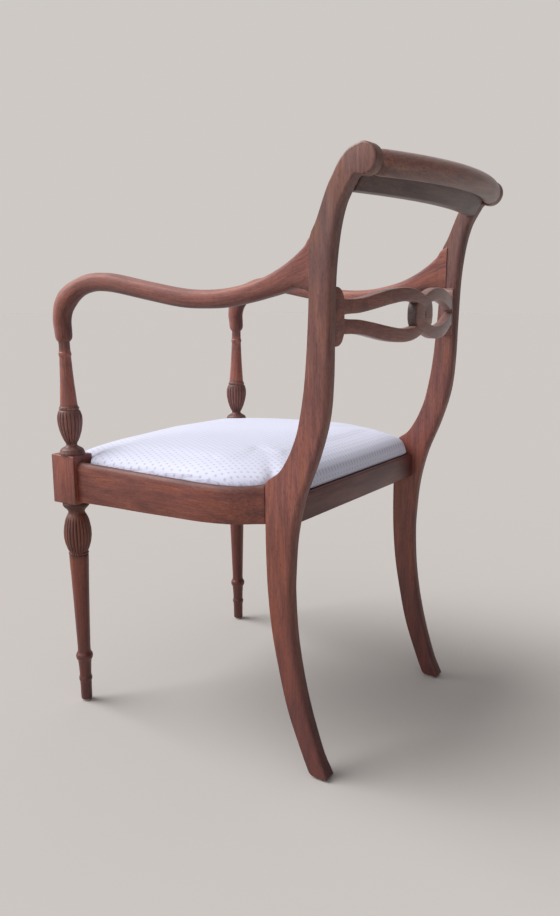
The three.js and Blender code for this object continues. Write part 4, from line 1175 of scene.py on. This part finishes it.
def crown(share, x, y):
    """Height of the cover: a dome, fuller to the rear, lower and squarer at its four corners."""
    across = abs(x) / seat_side(0.76)
    along = (y - SEAT_MIDDLE) / (SEAT_REAR - SEAT_MIDDLE)
    corner = min(across * abs(along), 1) ** 1.5
    rise = (1 + 0.08 * along) * (1 - corner * (0.8 if along < 0 else 0.5))
    squareness = 3.4 - 0.4 * max(along, 0) ** 3 + 8 * corner
    return SEAT_EDGE + SEAT_CROWN * rise * math.sqrt(1 - share ** squareness)


def seat_ring(share, level=None, inset=0):
    """The pad's plan at a share of its width; its rear side leans back over the rail."""
    shrink = share * (1 - inset / LEG_X)
    ring = []
    for x, y in seat_plan():
        x, y = x * shrink, SEAT_MIDDLE + (y - SEAT_MIDDLE) * shrink
        z = crown(share, x, y) - inset if level is None else level
        along = max((y - SEAT_MIDDLE) / (SEAT_REAR - SEAT_MIDDLE), 0)
        lean = max((SEAT_EDGE - z) / (SEAT_EDGE - SEAT_FLOOR), 0)
        ring.append(place(x, y + REAR_BULGE * along ** 8 * lean, z))
    return ring


def seat_rings(inset):
    """The pad from its underside up."""
    return [
        seat_ring(0.995, SEAT_FLOOR - PRESSED + inset, inset),
        seat_ring(1, RAIL_TOP - PADDING_INSET, inset),
        *[seat_ring(share, None, inset) for share in (1, *DOME_SHARES)],
    ]


def seat_padding(material):
    padding = sweep("seat_padding_felt", seat_rings(PADDING_INSET))
    apply_modifier(padding, "BEVEL", width=2 * MM, segments=2, limit_method="ANGLE")
    smooth(padding, 60)
    fit(padding, material, "drop_in_seat", "seat_felt", "seat_padding")


def base_cloth(material):
    """The hessian over the webbing, turned in before the pad begins to slope."""
    low, high = (corner.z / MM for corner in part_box("base_cloth"))
    cloth = sweep("base_cloth_hessian", [seat_ring(TURNED_IN_SHARE, level) for level in (low, high)])
    fit(cloth, material, "drop_in_seat", "webbing", "base_cloth")


def long_straps(material):
    """The three straps that run front to rear, tacked down on the frame inside its rounded edge."""
    for number in (1, 2, 3):
        node = f"webbing_along_{number}"
        low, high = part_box(node)
        middle, reach = (low.y + high.y) / 2, (high.y - low.y) / 2 * TURNED_IN_SHARE
        strap = sweep(f"{node}_jute", [
            [Vector((x, middle + side * reach, z)) for x, side in (
                (low.x, -1), (high.x, -1), (high.x, 1), (low.x, 1),
            )]
            for z in (low.z, high.z)
        ])
        fit(strap, material, "drop_in_seat", "webbing", node)


def swell(pad):
    """Blows the pad up a little inside its stretched cover; each point moves out by a set limit at most."""
    start = [(vertex.co.copy(), vertex.normal.copy()) for vertex in pad.data.vertices]
    choose(pad)
    held = pad.vertex_groups.new(name="held")
    low = [number for number, (spot, normal) in enumerate(start) if spot.z < (RAIL_TOP + VOXEL) * MM]
    held.add(low, 1, "REPLACE")
    cloth = pad.modifiers.new("cloth", "CLOTH")
    cloth.settings.use_pressure = True
    cloth.settings.uniform_pressure_force = 4
    cloth.settings.vertex_group_mass = held.name
    cloth.settings.effector_weights.gravity = 0
    cloth.collision_settings.use_self_collision = False
    for number in range(1, SIM_FRAMES + 1):
        bpy.context.scene.frame_set(number)
    bpy.ops.object.modifier_apply(modifier=cloth.name)
    bpy.context.scene.frame_set(1)
    for vertex, (spot, normal) in zip(pad.data.vertices, start):
        rise = (vertex.co - spot).dot(normal)
        vertex.co = spot + normal * min(max(rise, 0), SWELL_LIMIT * MM)
    pad.vertex_groups.clear()


def seat_cover(material):
    pad = sweep("seat_cover_cloth", seat_rings(0))
    apply_modifier(pad, "REMESH", mode="VOXEL", voxel_size=VOXEL * MM)
    swell(pad)
    apply_modifier(pad, "CORRECTIVE_SMOOTH", iterations=4, factor=0.4)
    apply_modifier(pad, "SUBSURF", levels=1, render_levels=1)
    choose(pad)
    bpy.ops.object.mode_set(mode="EDIT")
    skin = bmesh.from_edit_mesh(pad.data)
    bpy.ops.mesh.select_all(action="DESELECT")
    inner = 1 - TURNED_UNDER / LEG_X
    for face in skin.faces:
        middle = face.calc_center_median() / MM
        share = max(abs(middle.x) / LEG_X, abs(middle.y - LEG_Y - SEAT_MIDDLE) / (SEAT_REAR - SEAT_MIDDLE))
        face.select = face.normal.z < -0.7 and middle.z < SEAT_FLOOR + 3 and share < inner
    bmesh.update_edit_mesh(pad.data)
    bpy.ops.mesh.delete(type="FACE")
    bpy.ops.object.mode_set(mode="OBJECT")
    apply_modifier(pad, "SOLIDIFY", thickness=COVER_THICKNESS * MM, offset=-1)
    lay_cloth(pad)
    smooth(pad, 80)
    fit(pad, material, "drop_in_seat", "seat_fabric", "seat_cover")


def lay_cloth(pad):
    """The cloth's own coordinates: the plan on top, running on down each side, then how near its
    side edge the cloth lies, where it is gathered."""
    mesh = pad.data
    cloth = mesh.attributes.new("cloth", "FLOAT_VECTOR", "POINT")
    for vertex, item in zip(mesh.vertices, cloth.data):
        drop = max(SEAT_EDGE * MM - vertex.co.z, 0)
        normal = vertex.normal
        share = (vertex.co.y / MM - LEG_Y - RAIL_START) / RAIL_LENGTH
        inward = seat_side(min(max(share, 0), 1)) - abs(vertex.co.x) / MM
        gathered = max(1 - max(inward, 0) / CREASED_BAND, 0) ** 2
        item.vector = (vertex.co.x + drop * normal.x, vertex.co.y + drop * normal.y, gathered)


# Stage: a pale floor under one broad window light, with a pale wall behind the chair

FLOOR_COLOUR = "#b4afac"
BACKDROP = "#cec9c5"


def add_stage():
    deselect_all()
    bpy.ops.mesh.primitive_plane_add(size=60)
    floor = bpy.context.object
    floor.name = "floor"
    material, tree, shader = new_material("floor_paper")
    shader.inputs["Base Color"].default_value = linear(FLOOR_COLOUR)
    shader.inputs["Roughness"].default_value = 1
    shader.inputs["Specular IOR Level"].default_value = 0
    floor.data.materials.append(material)


SUN_FROM = (0.38, -0.85, 0.95)
SUN_STRENGTH = 3.4
SUN_ANGLE = 42
WALL_FROM = (-0.6, -0.8, 0.1)
WINDOW_FROM = (0.95, -0.2, 0.35)
ROOM = 0.03
CEILING_FROM = (0.1, 0.2, 1)
CEILING = 0.26
WALL = 0.42
WINDOW = 0.78


def lobe(tree, direction, aim, strength, low=0.1):
    """Light from one side of the room, fading round to the other."""
    facing = add_node(
        tree, "ShaderNodeVectorMath", {"operation": "DOT_PRODUCT"},
        values={1: Vector(aim).normalized()}, links={0: direction},
    )
    return add_node(
        tree, "ShaderNodeMapRange", {"interpolation_type": "SMOOTHSTEP"},
        values={"From Min": low, "From Max": 1, "To Min": 0, "To Max": strength},
        links={"Value": (facing, "Value")},
    )


def add_lights():
    world = bpy.data.worlds.new("studio")
    bpy.context.scene.world = world
    world.use_nodes = True
    tree = world.node_tree
    seen = tree.nodes["Background"]
    seen.inputs["Color"].default_value = linear(BACKDROP)
    direction = (add_node(tree, "ShaderNodeTexCoord"), "Generated")
    wall = lobe(tree, direction, WALL_FROM, WALL, -0.3)
    window = lobe(tree, direction, WINDOW_FROM, WINDOW)
    ceiling = lobe(tree, direction, CEILING_FROM, CEILING, 0)
    total = add_node(
        tree, "ShaderNodeMath", {"operation": "ADD"}, values={1: ROOM}, links={0: (wall, "Result")},
    )
    for side in (window, ceiling):
        total = add_node(
            tree, "ShaderNodeMath", {"operation": "ADD"}, links={0: (total, 0), 1: (side, "Result")},
        )
    light = add_node(
        tree, "ShaderNodeBackground", values={"Color": (1, 0.985, 0.97, 1)},
        links={"Strength": (total, 0)},
    )
    path = add_node(tree, "ShaderNodeLightPath")
    mixed = add_node(
        tree, "ShaderNodeMixShader",
        links={0: (path, "Is Camera Ray"), 1: (light, "Background"), 2: (seen, "Background")},
    )
    tree.links.new(mixed.outputs[0], tree.nodes["World Output"].inputs["Surface"])
    sun = bpy.data.lights.new("window", "SUN")
    sun.energy = SUN_STRENGTH
    sun.angle = math.radians(SUN_ANGLE)
    lamp = bpy.data.objects.new("window", sun)
    bpy.context.scene.collection.objects.link(lamp)
    lamp.rotation_euler = Vector(SUN_FROM).to_track_quat("Z", "Y").to_euler()


add_camera()
bpy.context.scene.view_settings.view_transform = "Standard"
add_stage()
add_lights()
upright = mahogany("mahogany_upright", "Z")
legs = mahogany("mahogany_leg", "Z", stain_and_shade="#fbeadf")
lengthwise = mahogany("mahogany_lengthwise", "Y", stain_and_shade="#eae2e0", coat=0.05)
crosswise = mahogany("mahogany_crosswise", "X")
# The supports and the arms take less of the painted shade by height than the other pieces
shaded = mahogany("mahogany_support", "Z", height_shade=0.2)
bent = mahogany(
    "mahogany_arm", "Y", stain_and_shade="#fff4ee", height_shade=0.4, haze=0.25, coat=0.05, dull=0.25, attribute="grain",
)
# Painted shade: the back rail, which faces away from the light, takes a darker stain
shaded_back_rail_finish = mahogany("mahogany_back_rail_painted_shade", "X", stain_and_shade="#b59da9")
roll = mahogany("mahogany_crest", "X", haze=0.15)
carved = mahogany("mahogany_splat", "X", haze=0.15)
back_posts(upright)
front_legs(legs)
arm_supports(shaded)
arms(bent)
side_rails(lengthwise)
front_rail(crosswise)
back_rail(shaded_back_rail_finish)
crest_rail(roll)
cross_splat(carved)
seat_padding(speckled("cotton_felt", "#c3b8a2", "#dcd2bf", 0.95, 3))
base_cloth(woven("hessian", "#86775c", "#bfae8c", 1.2))
long_straps(woven("jute_strap", "#84704c", "#b39c72", 1.6))
seat_cover(dobby("cotton_dobby"))
finish_hidden_parts()
